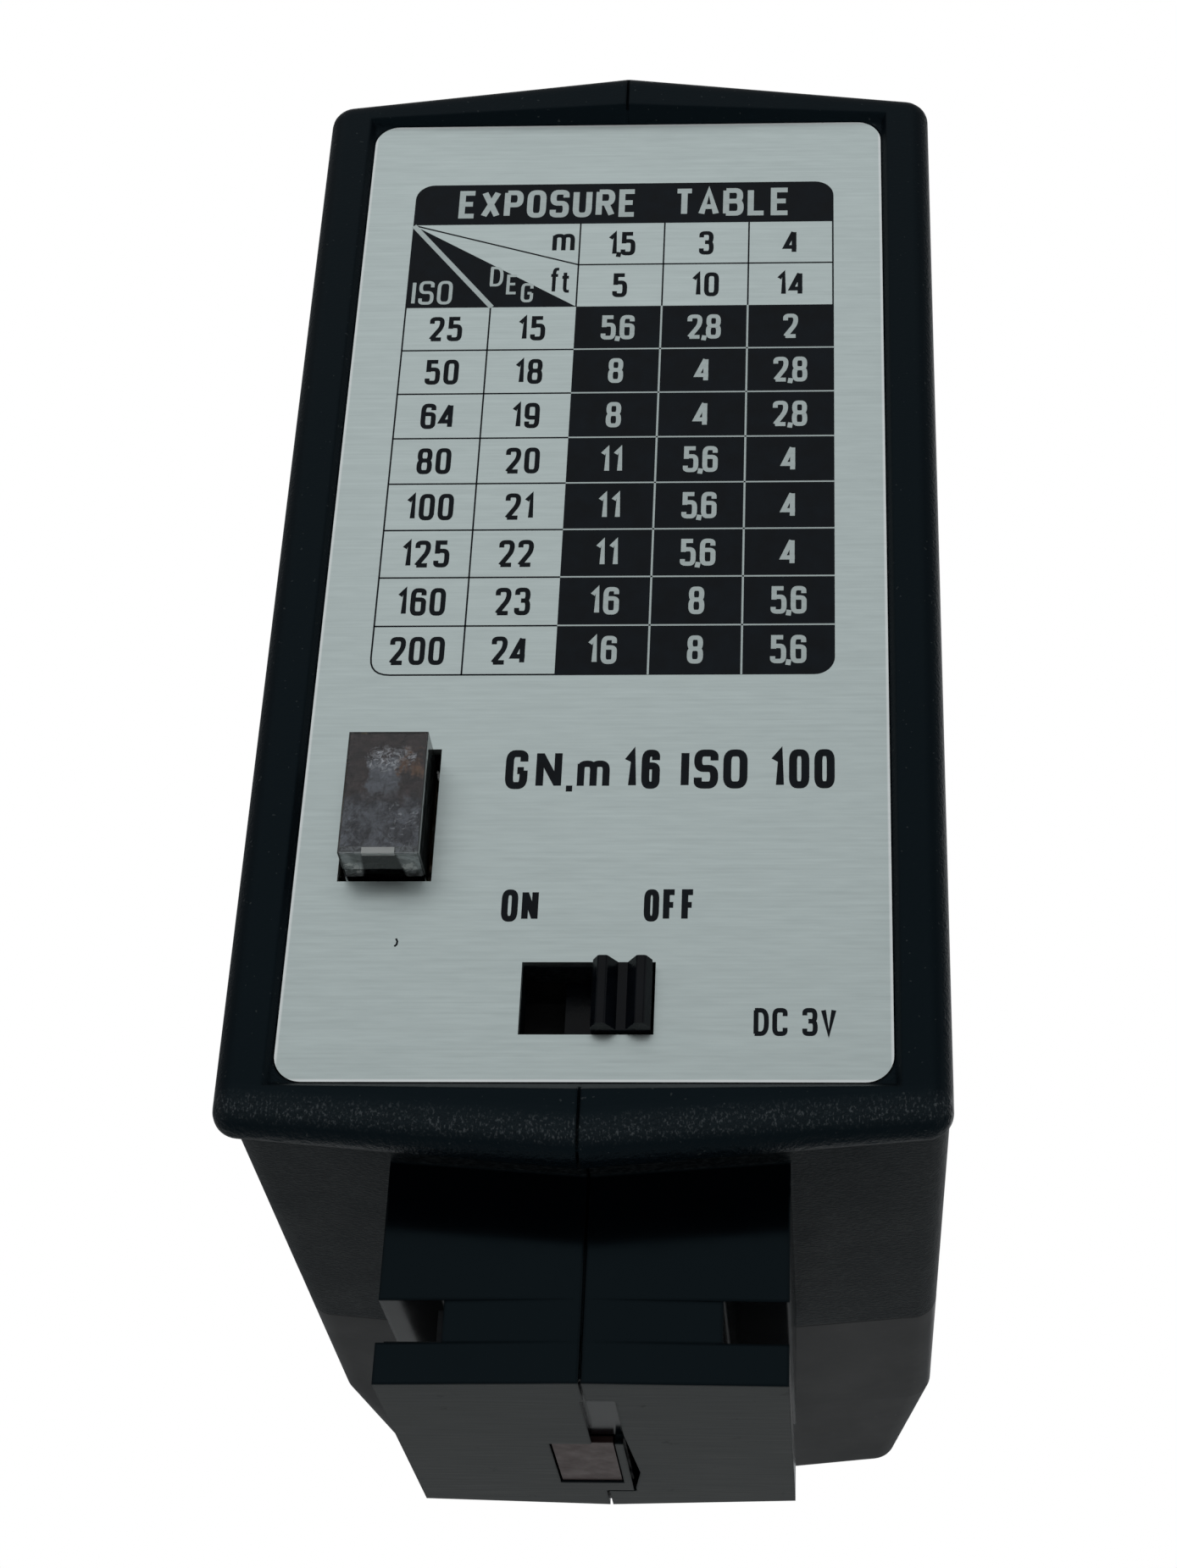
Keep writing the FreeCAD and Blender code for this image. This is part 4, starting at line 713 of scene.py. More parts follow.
class FLASH_OT_panel(LooksOperator, bpy.types.Operator):
    """Brush the exposure panel and print its table and lettering"""
    bl_idname = "flash.panel"
    bl_label = "Exposure panel"

    films = (25, 50, 64, 80, 100, 125, 160, 200)
    degrees = (15, 18, 19, 20, 21, 22, 23, 24)
    stops = (("5,6", "2,8", "2"), ("8", "4", "2,8"), ("8", "4", "2,8"), ("11", "5,6", "4"), ("11", "5,6", "4"),
             ("11", "5,6", "4"), ("16", "8", "5,6"), ("16", "8", "5,6"))
    distances = (("1,5", "3", "4"), ("5", "10", "14"))

    def execute(self, context):
        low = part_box("exposure_panel")[0]
        self.face = low.y
        self.base = low.z
        metal = panel_shader(self.colours)
        paint("exposure_panel", metal)
        self.left, self.right = -11.34 * MM, 11.30 * MM
        self.top = self.base + 52.73 * MM
        self.columns = np.linspace(self.left, self.right, 6)
        head, row = 2.82 * MM, 2.862 * MM
        self.rows = self.top - head - row * np.arange(11)
        black = self.black_blocks() + self.dark_lines() + self.dark_text()
        silver = self.light_lines() + self.light_text()
        new_piece("exposure_printing", *merged(black), ink_shader(self.colours), "body", "panel_aluminium")
        bare = panel_shader(self.colours, "bare_metal_lines", 0.82)
        new_piece("exposure_light_lines", *merged(silver), bare, "body", "panel_aluminium")
        return {"FINISHED"}

    def flat(self, outline, layer=1):
        """A patch of printing inside an outline."""
        return printed(outline, self.face, self.sizes.ink * layer)

    def ruled(self, *points, width=None, layer=1):
        """A printed line through some points."""
        return ribbon(np.asarray(points), width or self.sizes.line, self.face, self.sizes.ink * layer)

    def black_blocks(self):
        """The header, the aperture block and the two triangles in the table's corner."""
        left, right, rows, columns = self.left, self.right, self.rows, self.columns
        header = rounded(left, right, rows[0], self.top, (0, 0, 1.0 * MM, 1.0 * MM))
        block = rounded(columns[2], right, rows[10], rows[2], (0, 1.0 * MM, 0, 0))
        film = [(left, rows[0]), (left, rows[2]), (columns[1], rows[2])]
        degree = [(left, rows[0]), (columns[1] + 0.12 * MM, rows[2]), (columns[2], rows[2])]
        return [self.flat(shape) for shape in (header, block, film, degree)]

    def dark_lines(self):
        """The grid's lines on bare metal, the table's edge and the line between metres and feet."""
        left, right, rows, columns, line = self.left, self.right, self.rows, self.columns, self.sizes.line
        radius, edge = 1.0 * MM, line / 2
        shapes = [self.ruled((left, rows[0]), (columns[2], rows[1]))]
        shapes += [self.ruled((left, level), (columns[2], level)) for level in rows[3:10]]
        shapes.append(self.ruled((columns[1], rows[10]), (columns[1], rows[2])))
        shapes += [self.ruled((across, rows[2]), (across, rows[0])) for across in columns[2:6] - (0, 0, 0, edge)]
        shapes.append(self.ruled((columns[2], rows[1]), (right, rows[1])))
        border = np.array([(columns[2], rows[10] + edge), (left + edge, rows[10] + edge), (left + edge, rows[2])])
        shapes.append(ribbon(bent(border, radius), line, self.face, self.sizes.ink))
        return shapes

    def light_lines(self):
        """Bare metal lines left between the black cells and under the corner's film speeds."""
        rows, columns, line = self.rows, self.columns, self.sizes.line
        shapes = [self.ruled((columns[2], level), (self.right, level), layer=2) for level in rows[3:10]]
        shapes += [self.ruled((across, rows[10]), (across, rows[2]), width=line * 1.15, layer=2)
                   for across in columns[3:5]]
        shapes.append(self.ruled((self.left + 0.05 * MM, rows[0] - 0.05 * MM), (columns[1] + 0.06 * MM, rows[2]),
                                 width=0.28 * MM, layer=2))
        return shapes

    def write(self, text, middle_x, middle_z, layer=1):
        digit = self.sizes.digit
        return number(text, middle_x, middle_z, digit, self.sizes.squeeze, digit * self.sizes.pen, self.face,
                      self.sizes.ink * layer)

    def fitted(self, text, left, right, low, high, pen=0.24, layer=1):
        return lettering(text, left * MM, right * MM, self.base + low * MM, self.base + high * MM, pen * MM,
                         self.face,
                         self.sizes.ink * layer)

    def dark_text(self):
        """Numbers and words in black ink, and one stray fleck of it."""
        centres = (self.columns[:-1] + self.columns[1:]) / 2
        levels = (self.rows[:-1] + self.rows[1:]) / 2
        shapes = []
        for row, line in enumerate(self.distances):
            for column, text in enumerate(line):
                shapes += self.write(text, centres[2 + column], levels[row])
        for row, (film, degree) in enumerate(zip(self.films, self.degrees), start=2):
            shapes += self.write(str(film), centres[0], levels[row]) + self.write(str(degree), centres[1],
                                                                                  levels[row])
        words = (("m", -3.75, -2.55, 47.94, 49.2, 0.24), ("f", -3.8, -3.2, 45.14, 46.85, 0.19),
                 ("t", -3.2, -2.62, 45.14, 46.6, 0.19),
                 ("G", -4.34, -3.28, 14.96, 17.09, 0.38), ("N", -2.88, -1.66, 14.96, 17.09, 0.36),
                 ("m", -0.92, 0.62, 14.96, 16.5, 0.34), ("16", 1.3, 3.0, 14.96, 17.09, 0.38),
                 ("ISO", 4.0, 7.15, 14.96, 17.09, 0.38), ("100", 8.25, 11.27, 14.96, 17.09, 0.38),
                 ("ON", -4.1, -2.4, 7.96, 9.62, 0.3), ("OFF", 2.48, 4.88, 7.96, 9.62, 0.3),
                 ("DC 3V", 7.6, 11.31, 2.24, 3.61, 0.22))
        for word in words:
            shapes += self.fitted(*word)
        dot = np.array([(-1.42, 14.98), (-1.12, 14.98)]) * MM + (0, self.base)
        shapes.append(ribbon(dot, 0.32 * MM, self.face, self.sizes.ink))
        fleck = np.array([(-8.85, 7.1), (-8.78, 6.95), (-8.8, 6.8), (-8.9, 6.7)]) * MM + (0, self.base)
        shapes.append(ribbon(fleck, 0.09 * MM, self.face, self.sizes.ink))
        return shapes

    def light_text(self):
        """Numbers and words in bare metal on black."""
        centres = (self.columns[:-1] + self.columns[1:]) / 2
        levels = (self.rows[:-1] + self.rows[1:]) / 2
        shapes = []
        for row, line in enumerate(self.stops, start=2):
            for column, text in enumerate(line):
                shapes += self.write(text, centres[2 + column], levels[row], 2)
        words = (("EXPOSURE", -8.95, 0.71, 50.35, 52.3, 0.33), ("TABLE", 2.70, 8.99, 50.35, 52.3, 0.33),
                 ("ISO", -11.05, -8.9, 44.4, 46.0, 0.19), ("D", -6.95, -6.25, 45.6, 46.95, 0.17),
                 ("E", -6.05, -5.45, 45.05, 46.4, 0.17), ("G", -5.25, -4.6, 44.5, 45.8, 0.17))
        for word in words:
            shapes += self.fitted(*word, layer=2)
        return shapes


class FLASH_OT_controls(LooksOperator, bpy.types.Operator):
    """Finish the test button with its crinkled foil, the ready lamp and the power switch"""
    bl_idname = "flash.controls"
    bl_label = "Button and switch"

    def execute(self, context):
        paint("test_button", clear_shader("clear_button"))
        paint("ready_lamp", clear_shader("lamp_glass", (0.95, 0.62, 0.45), 0.05, 1.5))
        knob = moulded_shader("knob_black", (0.0012, 0.0022, 0.0042), 0.2, 0.3, 0.25 * MM, 0.008 * MM, 0.14)
        paint("switch_knob", knob)
        paint("switch_body", moulded_shader("switch_black", (0.01, 0.01, 0.011), 0.4))
        steel = metal_shader("spring_steel", (0.58, 0.58, 0.57), 0.25)
        paint("button_spring", steel)
        brass = metal_shader("contact_brass", (0.72, 0.55, 0.27), 0.28)
        for node in ("test_contact", "switch_wiper", "switch_terminals"):
            paint(node, brass)
        self.add_foil()
        return {"FINISHED"}

    def sheet(self, corner, across, up, inward, count, seed):
        """A creased sheet from a corner along two directions: its depth is a sum of folded, turned sine waves."""
        first, second = np.meshgrid(np.linspace(0, 1, count[0]), np.linspace(0, 1, count[1]), indexing="ij")
        wide, tall = first * np.linalg.norm(across), second * np.linalg.norm(up)
        rng = np.random.default_rng(seed)
        depth = np.zeros_like(first)
        for octave in range(1, 7):
            turn, phase = rng.uniform(0, math.pi), rng.uniform(0, 2 * math.pi)
            wave = (wide * math.cos(turn) + tall * math.sin(turn)) * octave * 2 * math.pi / (2.3 * MM)
            bend = np.sin((wide * math.sin(turn) - tall * math.cos(turn)) * octave * 2 * math.pi / (3.1 * MM))
            depth += np.abs(np.sin(wave + phase + 1.7 * bend)) / octave
        depth *= self.sizes.crinkle / depth.max()
        outer = (corner + first.reshape(-1, 1) * across + second.reshape(-1, 1) * up + depth.reshape(-1, 1) * inward)
        inner = outer + 0.05 * MM * inward
        cell = np.arange(first.size).reshape(first.shape)
        quads = np.stack([cell[:-1, :-1], cell[1:, :-1], cell[1:, 1:], cell[:-1, 1:]], axis=-1).reshape(-1, 4)
        ring = np.concatenate([cell[:, 0], cell[-1, 1:], cell[-2::-1, -1], cell[0, -2:0:-1]])
        other = np.roll(ring, -1)
        walls = np.column_stack([other, ring, ring + first.size, other + first.size])
        return np.vstack([outer, inner]), [*quads, *(quads[:, ::-1] + first.size), *walls]

    def lining(self):
        """Creased foil close under the button's face, its lower side and its right side, and its limits."""
        low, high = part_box("button_foil")
        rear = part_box("test_button")[0].y
        skin = 0.58 * MM
        left, right, bottom, top = low.x - skin, high.x + skin, low.z - skin - 0.92 * MM, high.z + skin
        edge = bottom + 0.02 * MM
        wide, deep = np.array([right - left, 0, 0]), np.array([0, -3.2 * MM, 0])
        face = self.sheet(np.array([left, rear + 0.06 * MM, edge]), wide, np.array([0, 0, top - edge]),
                          np.array([0, 1.0, 0]), (60, 96), 7)
        under = self.sheet(np.array([left, rear + 3.4 * MM, bottom + 0.05 * MM]), wide, deep,
                           np.array([0, 0, 1.0]), (46, 32), 11)
        side = self.sheet(np.array([right, rear + 3.4 * MM, bottom + 0.1 * MM]), np.array([0, 0, top - edge]), deep,
                          np.array([-1.0, 0, 0]), (80, 30), 13)
        return (face, under, side), (left, right, bottom, top, rear)

    def foil_material(self, left, right, bottom, top, rear):
        """Creased silver, brown above and mottled below, with a framed window on its low side; painted glints and
        highlights on the creases, and painted shade deep in the low side.
        """
        shade = Shader("crinkled_foil", metal=0.85)
        x, y, z = shade.axes()
        wander = shade.sum("MULTIPLY", shade.sum("SUBTRACT", shade.noise(0.5 * MM, detail=3.0, rough=0.6), 0.5),
                           1.6 * MM)
        across, up = shade.sum("ADD", x, wander), shade.sum("ADD", z, wander)
        wide, tall = right - left, top - bottom

        def inside(value, start, low, high, soft, size):
            rise = shade.ramp(value, start + (low - soft) * size, start + (low + soft) * size)
            fall = shade.ramp(value, start + (high - soft) * size, start + (high + soft) * size, 1.0, 0.0)
            return shade.sum("MULTIPLY", rise, fall)

        def region(low_x, high_x, low_z, high_z, soft=0.04):
            return shade.sum("MULTIPLY", inside(across, left, low_x, high_x, soft, wide),
                             inside(up, bottom, low_z, high_z, soft, tall))

        crease = shade.noise(0.34 * MM, detail=5.0, rough=0.7, twist=1.2)
        glint = shade.ramp(crease, 0.56, 0.66)
        mottle = shade.noise(0.8 * MM, detail=5.0, rough=0.7, twist=0.6)
        lower = shade.mix(shade.ramp(mottle, 0.42, 0.58), (0.055, 0.06, 0.075), (0.20, 0.215, 0.25))
        lower = shade.mix(shade.ramp(crease, 0.55, 0.62, 0.0, 0.6), lower, (0.03, 0.033, 0.04))
        brown = shade.mix(shade.ramp(mottle, 0.4, 0.6), (0.045, 0.037, 0.040), (0.095, 0.072, 0.072))
        tone = shade.mix(shade.ramp(up, bottom + 0.40 * tall, bottom + 0.50 * tall), lower, brown)
        tone = shade.mix(region(0.27, 0.68, 0.50, 0.80), tone, (0.20, 0.215, 0.25))
        # Painted highlight: near white on the crease peaks in a band high on the face.
        painted_crumple_highlights = shade.sum("MULTIPLY", region(0.28, 0.85, 0.72, 0.86), shade.ramp(crease, 0.46, 0.60))
        tone = shade.mix(painted_crumple_highlights, tone, (0.80, 0.82, 0.88))
        rust = shade.sum("MULTIPLY", region(0.66, 1.0, 0.62, 0.86), shade.ramp(mottle, 0.46, 0.60))
        tone = shade.mix(rust, tone, (0.25, 0.14, 0.085))
        # Painted highlights: glints on the creases, bright low on the right and faint low on the left.
        sparks = shade.sum("MULTIPLY", region(0.62, 1.0, 0.06, 0.42), glint)
        tone = shade.mix(shade.sum("MULTIPLY", sparks, 0.7), tone, (0.75, 0.78, 0.85))
        tone = shade.mix(shade.sum("MULTIPLY", region(0.0, 0.5, 0.08, 0.42), shade.sum("MULTIPLY", glint, 0.3)), tone,
                         (0.6, 0.63, 0.7))
        middle = (left + right) / 2
        offset = shade.sum("ABSOLUTE", shade.sum("SUBTRACT", x, middle))
        depth = shade.sum("SUBTRACT", y, rear)
        low_side = shade.sum("MULTIPLY", shade.sum("LESS_THAN", z, bottom + 0.25 * MM),
                             shade.sum("GREATER_THAN", depth, 0.22 * MM))
        window = shade.ramp(shade.sum("SUBTRACT", offset, shade.sum("MULTIPLY", depth, 0.1)), 0.72 * MM, 0.85 * MM)
        frame_edge = shade.ramp(depth, 0.16 * MM, 0.24 * MM)
        pane = shade.mix(shade.ramp(mottle, 0.4, 0.6), (0.28, 0.30, 0.30), (0.62, 0.65, 0.66))
        spot = shade.node("ShaderNodeVectorMath", operation="DISTANCE")
        mirrored = shade.node("ShaderNodeCombineXYZ")
        shade.feed(mirrored.inputs[0], offset)
        shade.feed(mirrored.inputs[1], depth)
        shade.feed(spot.inputs[0], mirrored.outputs[0])
        spot.inputs[1].default_value = (1.22 * MM, 1.5 * MM, 0)
        near = shade.ramp(shade.sum("ADD", spot.outputs["Value"], wander), 0.34 * MM, 0.44 * MM, 1.0, 0.0)
        near = shade.sum("MULTIPLY", shade.sum("MULTIPLY", near, low_side), shade.ramp(crease, 0.42, 0.5))
        pane = shade.mix(near, pane, (0.95, 0.97, 0.95))
        base = shade.mix(window, (0.012, 0.014, 0.015), pane)
        # Painted shade: the low side turns near black deeper than 2.35 mm behind the button's rear face.
        base = shade.mix(shade.ramp(depth, 2.35 * MM, 2.45 * MM), base, (0.004, 0.005, 0.006))
        base = shade.mix(frame_edge, (0.4, 0.42, 0.42), base)
        strip = shade.sum("LESS_THAN", z, bottom + 0.38 * MM)
        border = shade.mix(shade.ramp(crease, 0.4, 0.6), (0.05, 0.055, 0.06), (0.26, 0.28, 0.3))
        tone = shade.mix(strip, tone,
                         shade.mix(shade.sum("LESS_THAN", z, bottom + 0.08 * MM), border, (0.5, 0.53, 0.54)))
        flank = shade.sum("GREATER_THAN", x, right - 0.2 * MM)
        strips = shade.mix(shade.ramp(shade.noise(1.0, vector=shade.stretched((900, 1700, 120))), 0.4, 0.6),
                           (0.035, 0.038, 0.038), (0.12, 0.13, 0.13))
        tone = shade.mix(shade.sum("MULTIPLY", flank, shade.sum("GREATER_THAN", depth, 0.3 * MM)), tone, strips)
        shade.put("Base Color", shade.mix(low_side, tone, base))
        shade.put("Metallic", shade.between(near, 0.85, 0.0))
        shade.put("Roughness", shade.ramp(crease, 0.3, 0.7, 0.28, 0.5))
        shade.bump(shade.sum("ADD", crease, shade.sum("MULTIPLY", mottle, 0.6)), 0.05 * MM)
        return shade.material

    def add_foil(self):
        """The button's creased lining, and a white tip at the face's lower edge."""
        sheets, (left, right, bottom, top, rear) = self.lining()
        foil = self.foil_material(left, right, bottom, top, rear)
        new_piece("crinkled_foil", *merged(sheets), foil, "button", "foil", ("button_foil",))
        middle = (left + right) / 2
        tip = moulded_shader("white_tip", (0.85, 0.86, 0.84), 0.4, 0.05)
        half, levels, rows = 0.76 * MM, (bottom + 0.04 * MM, bottom + 0.33 * MM), (rear + 0.08 * MM, rear + 0.3 * MM)
        points = [(middle - 0.02 * MM + side * half, row, level) for level in levels for row in rows
                  for side in (-1, 1)]
        faces = [(0, 2, 3, 1), (4, 5, 7, 6), (0, 1, 5, 4), (2, 6, 7, 3), (0, 4, 6, 2), (1, 3, 7, 5)]
        new_piece("button_light_tip", points, faces, tip, "button", "clear_plastic")


class FLASH_OT_head(LooksOperator, bpy.types.Operator):
    """Make the ribbed flash window, and finish the reflector, the tube and its trigger wire"""
    bl_idname = "flash.head"
    bl_label = "Flash head"

    def execute(self, context):
        self.add_window()
        mirror = Shader("bright_mirror", base=(0.86, 0.87, 0.88), metal=1.0)
        cloud = mirror.noise(3 * MM, detail=3.0)
        mirror.put("Base Color", mirror.mix(mirror.ramp(cloud, 0.3, 0.8), (0.88, 0.89, 0.9), (0.74, 0.75, 0.76)))
        mirror.put("Roughness", mirror.ramp(cloud, 0.3, 0.8, 0.06, 0.16))
        mirror.bump(mirror.noise(0.8 * MM), 0.006 * MM)
        paint("reflector", mirror.material)
        paint("flash_tube", clear_shader("tube_glass", (0.98, 0.98, 1.0), 0.01, 1.47))
        paint("tube_caps", metal_shader("cap_metal", (0.6, 0.58, 0.52), 0.3))
        self.add_trigger_wire()
        return {"FINISHED"}

    def add_window(self):
        """A pane with round ribs across its face: the profile's depth is the absolute sine of its height."""
        low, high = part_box("flash_window")
        flange = 0.8 * MM
        face, back = high.y, low.y
        seat = back + 0.75 * MM
        inner_low, inner_high = low.z + flange, high.z - flange
        margin = 1.0 * MM
        count = int((inner_high - inner_low - 2 * margin) / self.sizes.rib)
        heights = np.linspace(inner_low + margin, inner_high - margin, count * 8 + 1)
        share = (heights - heights[0]) / (heights[-1] - heights[0]) * count
        depths = face - 0.32 * MM * (1 - np.abs(np.sin(share * math.pi)))
        profile = [(back, low.z), (seat, low.z), (seat, inner_low), (face, inner_low),
                   (face, inner_low + margin * 0.9),
                   *zip(depths, heights), (face, inner_high - margin * 0.9), (face, inner_high), (seat, inner_high),
                   (seat, high.z), (back, high.z)]
        ring = np.asarray(profile)
        count = len(ring)
        flange_part = (ring[:, 0] <= seat + 1e-7)
        half = np.where(flange_part, high.x, high.x - flange)
        near = np.column_stack([-half, ring])
        far = np.column_stack([half, ring])
        rest = [[number, (number + 1) % count, (number + 1) % count + count, number + count]
                for number in range(count)]
        points = np.vstack([near, far])
        sides = [list(range(count - 1, -1, -1)), list(range(count, 2 * count))]
        new_piece("ribbed_window", points, rest + sides, clear_shader("ribbed_clear", (0.97, 0.98, 0.98), 0.04, 1.49),
                  "body", "window_plastic", ("flash_window",))

    def add_trigger_wire(self):
        """Fine wire wound round the tube: a helix whose axis is the tube's."""
        low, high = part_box("flash_tube")
        centre = (low + high) / 2
        radius = (high.z - low.z) / 2 + 0.07 * MM
        turn = np.linspace(0, 2 * math.pi * 7, 7 * 18)
        reach = np.linspace(low.x + 2 * MM, high.x - 2 * MM, len(turn))
        path = np.column_stack([reach, centre.y + radius * np.cos(turn), centre.z + radius * np.sin(turn)])
        new_piece("trigger_wire_turns", *tube(path, 0.06 * MM, 6), metal_shader("nickel_wire", (0.6, 0.6, 0.58), 0.2),
                  "body", "spring_steel", smooth=True)


class FLASH_OT_power(LooksOperator, bpy.types.Operator):
    """Finish the cells, their contacts and the power parts"""
    bl_idname = "flash.power"
    bl_label = "Power parts"

    def execute(self, context):
        paint("battery_tray", moulded_shader("tray_black", (0.02, 0.02, 0.022), 0.45))
        low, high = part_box("battery_cell_left")
        gold, green = (0.55, 0.36, 0.1), (0.012, 0.05, 0.028)
        sleeve = banded_shader("left_sleeve", green, [(high.z - 14 * MM, high.z - 3 * MM, gold)], "Z", 0.25,
                               high.z - 1.9 * MM)
        paint("battery_cell_left", sleeve)
        low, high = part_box("battery_cell_right")
        paint("battery_cell_right", banded_shader("right_sleeve", green, [(low.z, low.z + 12 * MM, gold)], "Z", 0.25,
                                                  high.z - 0.6 * MM))
        brass = metal_shader("battery_brass", (0.7, 0.6, 0.4), 0.26)
        for node in ("bridge_contact", "positive_contact"):
            paint(node, brass)
        paint("negative_leaf", metal_shader("leaf_nickel", (0.6, 0.59, 0.56), 0.24))
        paint("ground_spring", metal_shader("rail_steel", (0.012, 0.013, 0.014), 0.35))
        paint("shoe_contact", metal_shader("worn_copper", (0.062, 0.037, 0.035), 0.34, 0.2, (0.04, 0.026, 0.025)))
        low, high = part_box("main_capacitor")
        can_top = high.z - 2.4 * MM
        blue, white = (0.012, 0.022, 0.08), (0.45, 0.47, 0.5)
        bands = [(low.z + 3 * MM, low.z + 4 * MM, white), (can_top - 5 * MM, can_top - 4 * MM, white)]
        paint("main_capacitor", banded_shader("capacitor_sleeve", blue, bands, "Z", 0.22, can_top - 0.25 * MM))
        paint("capacitor_clip", metal_shader("clip_steel", (0.5, 0.5, 0.5), 0.3))
        paint("transformer_core", moulded_shader("ferrite", (0.035, 0.035, 0.037), 0.5, 0.3, 0.1 * MM, 0.02 * MM))
        paint("transformer_coil", wound_shader("transformer_winding", (0.6, 0.24, 0.08), "Z"))
        return {"FINISHED"}


class FLASH_OT_board(LooksOperator, bpy.types.Operator):
    """Finish the circuit board and its parts, and add its solder joints, tracks and wires"""
    bl_idname = "flash.board"
    bl_label = "Circuit board"

    def execute(self, context):
        paint("circuit_board",
              moulded_shader("phenolic_board", (0.36, 0.22, 0.085), 0.42, 0.15, 0.5 * MM, 0.006 * MM))
        lacquer, brown, red, gold = (0.52, 0.38, 0.22), (0.08, 0.03, 0.01), (0.4, 0.02, 0.015), (0.6, 0.4, 0.08)
        bands = []
        for centre in (-6.0, 5.5):
            for offset, tone in ((-1.5, brown), (-0.6, red), (0.3, brown), (1.5, gold)):
                bands.append(((centre + offset - 0.2) * MM, (centre + offset + 0.2) * MM, tone))
        paint("resistors", banded_shader("resistor_lacquer", lacquer, bands, "X"))
        paint("rectifier_diode", banded_shader("diode_black", (0.012, 0.012, 0.012),
                                               [(7.4 * MM, 7.9 * MM, (0.6, 0.6, 0.6))], "X"))
        paint("power_transistor", moulded_shader("transistor_epoxy", (0.012, 0.012, 0.013), 0.4))
        paint("trigger_capacitor", moulded_shader("capacitor_lacquer", (0.42, 0.12, 0.03), 0.2))
        paint("trigger_coil", wound_shader("trigger_winding", (0.5, 0.2, 0.07), "X", 0.12 * MM))
        self.add_tracks()
        self.add_solder()
        self.add_wires()
        return {"FINISHED"}

    def lead_spots(self):
        """Where leads come through the board, as (x, z)."""
        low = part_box("circuit_board")[0].z
        spots = [(across + side * 3.3 * MM, low + lift * MM) for across, lift in
                 ((5.5 * MM, 15.0), (5.5 * MM, 18.0), (-6.0 * MM, 28.0), (-6.0 * MM, 31.5)) for side in (-1, 1)]
        spots += [(6.0 * MM + side * 3.5 * MM, low + 31.5 * MM) for side in (-1, 1)]
        spots += [((0.07 + side * 2.8) * MM, 16.1 * MM) for side in (-1, 0, 1)]
        return spots

    def add_tracks(self):
        """Copper tracks on the board's front, as flat strips that turn at right angles."""
        high_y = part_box("circuit_board")[1].y
        spots = self.lead_spots()
        shapes = []
        for first, last in zip(spots[:-1:2], spots[2::2]):
            corner = (first[0], last[1])
            for start, end in ((first, corner), (corner, last)):
                if np.linalg.norm(np.subtract(start, end)) > 0.2 * MM:
                    shapes.append(ribbon((start, end), 0.9 * MM, high_y + 0.03 * MM, 0.03 * MM))
        new_piece("board_tracks", *merged(shapes), metal_shader("track_copper", (0.62, 0.33, 0.2), 0.3), "body",
                  "board")

    def add_solder(self):
        high_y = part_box("circuit_board")[1].y
        rng = np.random.default_rng(3)
        shapes = [dome((x, high_y, z), rng.uniform(0.62, 0.8) * MM, rng.uniform(0.75, 0.95) * MM)
                  for x, z in self.lead_spots()]
        new_piece("solder_joints", *merged(shapes), metal_shader("solder", (0.62, 0.62, 0.6), 0.22), "body", "board",
                  smooth=True)

    def add_wires(self):
        """Insulated wires from the board, under the battery tray, to the front parts and the shoe contact."""
        routes = {
            "supply_wire": ((0.35, 0.012, 0.01),
                            ((1.6, -6.3, 21), (1.6, -6.3, 15), (1.6, -5.9, 12.4), (1.6, -3.8, 11.5),
                            (1.6, 2, 11.45), (1.6, 9, 11.6), (2.2, 11.9, 12.7), (3.4, 12.6, 15), (4.8, 12.9, 17))),
            "return_wire": ((0.008, 0.008, 0.009), ((-1.4, -6.3, 24), (-1.4, -6.3, 15), (-1.4, -5.9, 12.4),
                            (-1.4, -3.8, 11.5), (-1.4, 2, 11.45), (-1.4, 9, 11.6), (-1.2, 11.9, 13.4),
                            (-1.0, 12.5, 24),
                            (-1.6, 12.9, 38), (-2.3, 15.5, 46.2), (-2.4, 20, 47.3), (-2.4, 22, 46.4))),
            "trigger_lead": ((0.5, 0.33, 0.03),
                             ((0.1, -6.3, 30), (0.1, -6.3, 15), (0.1, -5.9, 12.4), (0.1, -3.8, 11.5),
                             (0.1, 2, 11.45), (0.1, 9, 11.6), (1.0, 12, 13.8), (2.6, 12.9, 24), (3.9, 14, 38),
                             (5.0, 19.5, 45), (6, 22.1, 50), (6, 22.9, 55))),
            "shoe_lead": ((0.06, 0.03, 0.02),
                          ((-0.65, 5.4, 8.1), (-1.0, 4.6, 9.2), (-2.6, 2.2, 10.6), (-3.2, -1, 11.35),
                          (-3.4, -4, 11.5), (-3.4, -6.1, 12.9), (-3.4, -6.3, 17))),
        }
        for name, (tone, points) in routes.items():
            path = smooth_path(np.asarray(points) * MM)
            sleeve = moulded_shader(name + "_sleeve", tone, 0.3, 0.1)
            new_piece(name, *tube(path, self.sizes.wire), sleeve, "body", "inner_plastic", smooth=True)


class FLASH_PT_looks(bpy.types.Panel):
    """Buttons for every group of pieces"""
    bl_label = "Flash looks"
    bl_space_type = "VIEW_3D"
    bl_region_type = "UI"
    bl_category = "Flash"

    def draw(self, context):
        for operator in OPERATORS:
            self.layout.operator(operator.bl_idname)
        for group in (context.scene.flash_sizes, context.scene.flash_colours):
            for name in group.bl_rna.properties.keys():
                if name not in ("rna_type", "name"):
                    self.layout.prop(group, name)


OPERATORS = (FLASH_OT_stage, FLASH_OT_case, FLASH_OT_panel, FLASH_OT_controls, FLASH_OT_head, FLASH_OT_power,
             FLASH_OT_board)
CLASSES = (FlashSizes, FlashColours, *OPERATORS, FLASH_PT_looks)


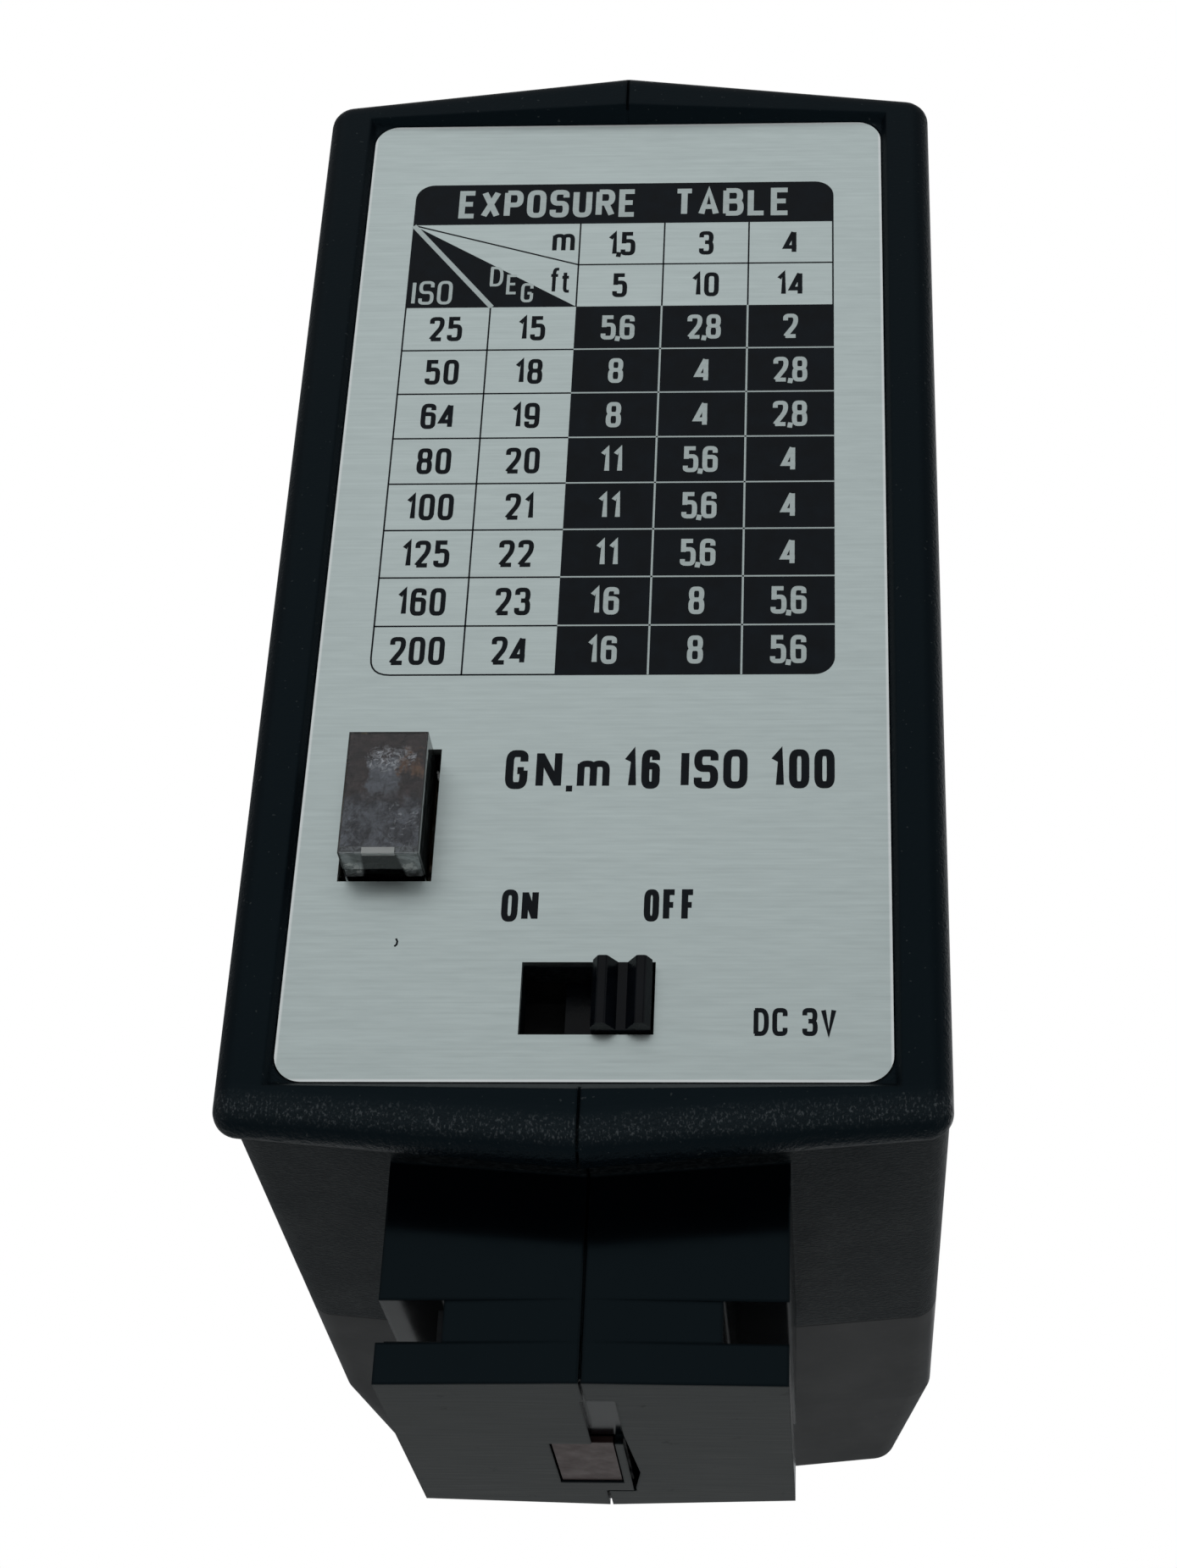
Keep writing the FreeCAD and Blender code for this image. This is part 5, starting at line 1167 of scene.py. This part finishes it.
def register():
    for item in CLASSES:
        bpy.utils.register_class(item)
    bpy.types.Scene.flash_sizes = bpy.props.PointerProperty(type=FlashSizes)
    bpy.types.Scene.flash_colours = bpy.props.PointerProperty(type=FlashColours)


def unregister():
    del bpy.types.Scene.flash_colours
    del bpy.types.Scene.flash_sizes
    for item in reversed(CLASSES):
        bpy.utils.unregister_class(item)


def main():
    """Make every piece in order."""
    register()
    for operator in OPERATORS:
        group, name = operator.bl_idname.split(".")
        getattr(getattr(bpy.ops, group), name)()


if __name__ == "__main__":
    main()
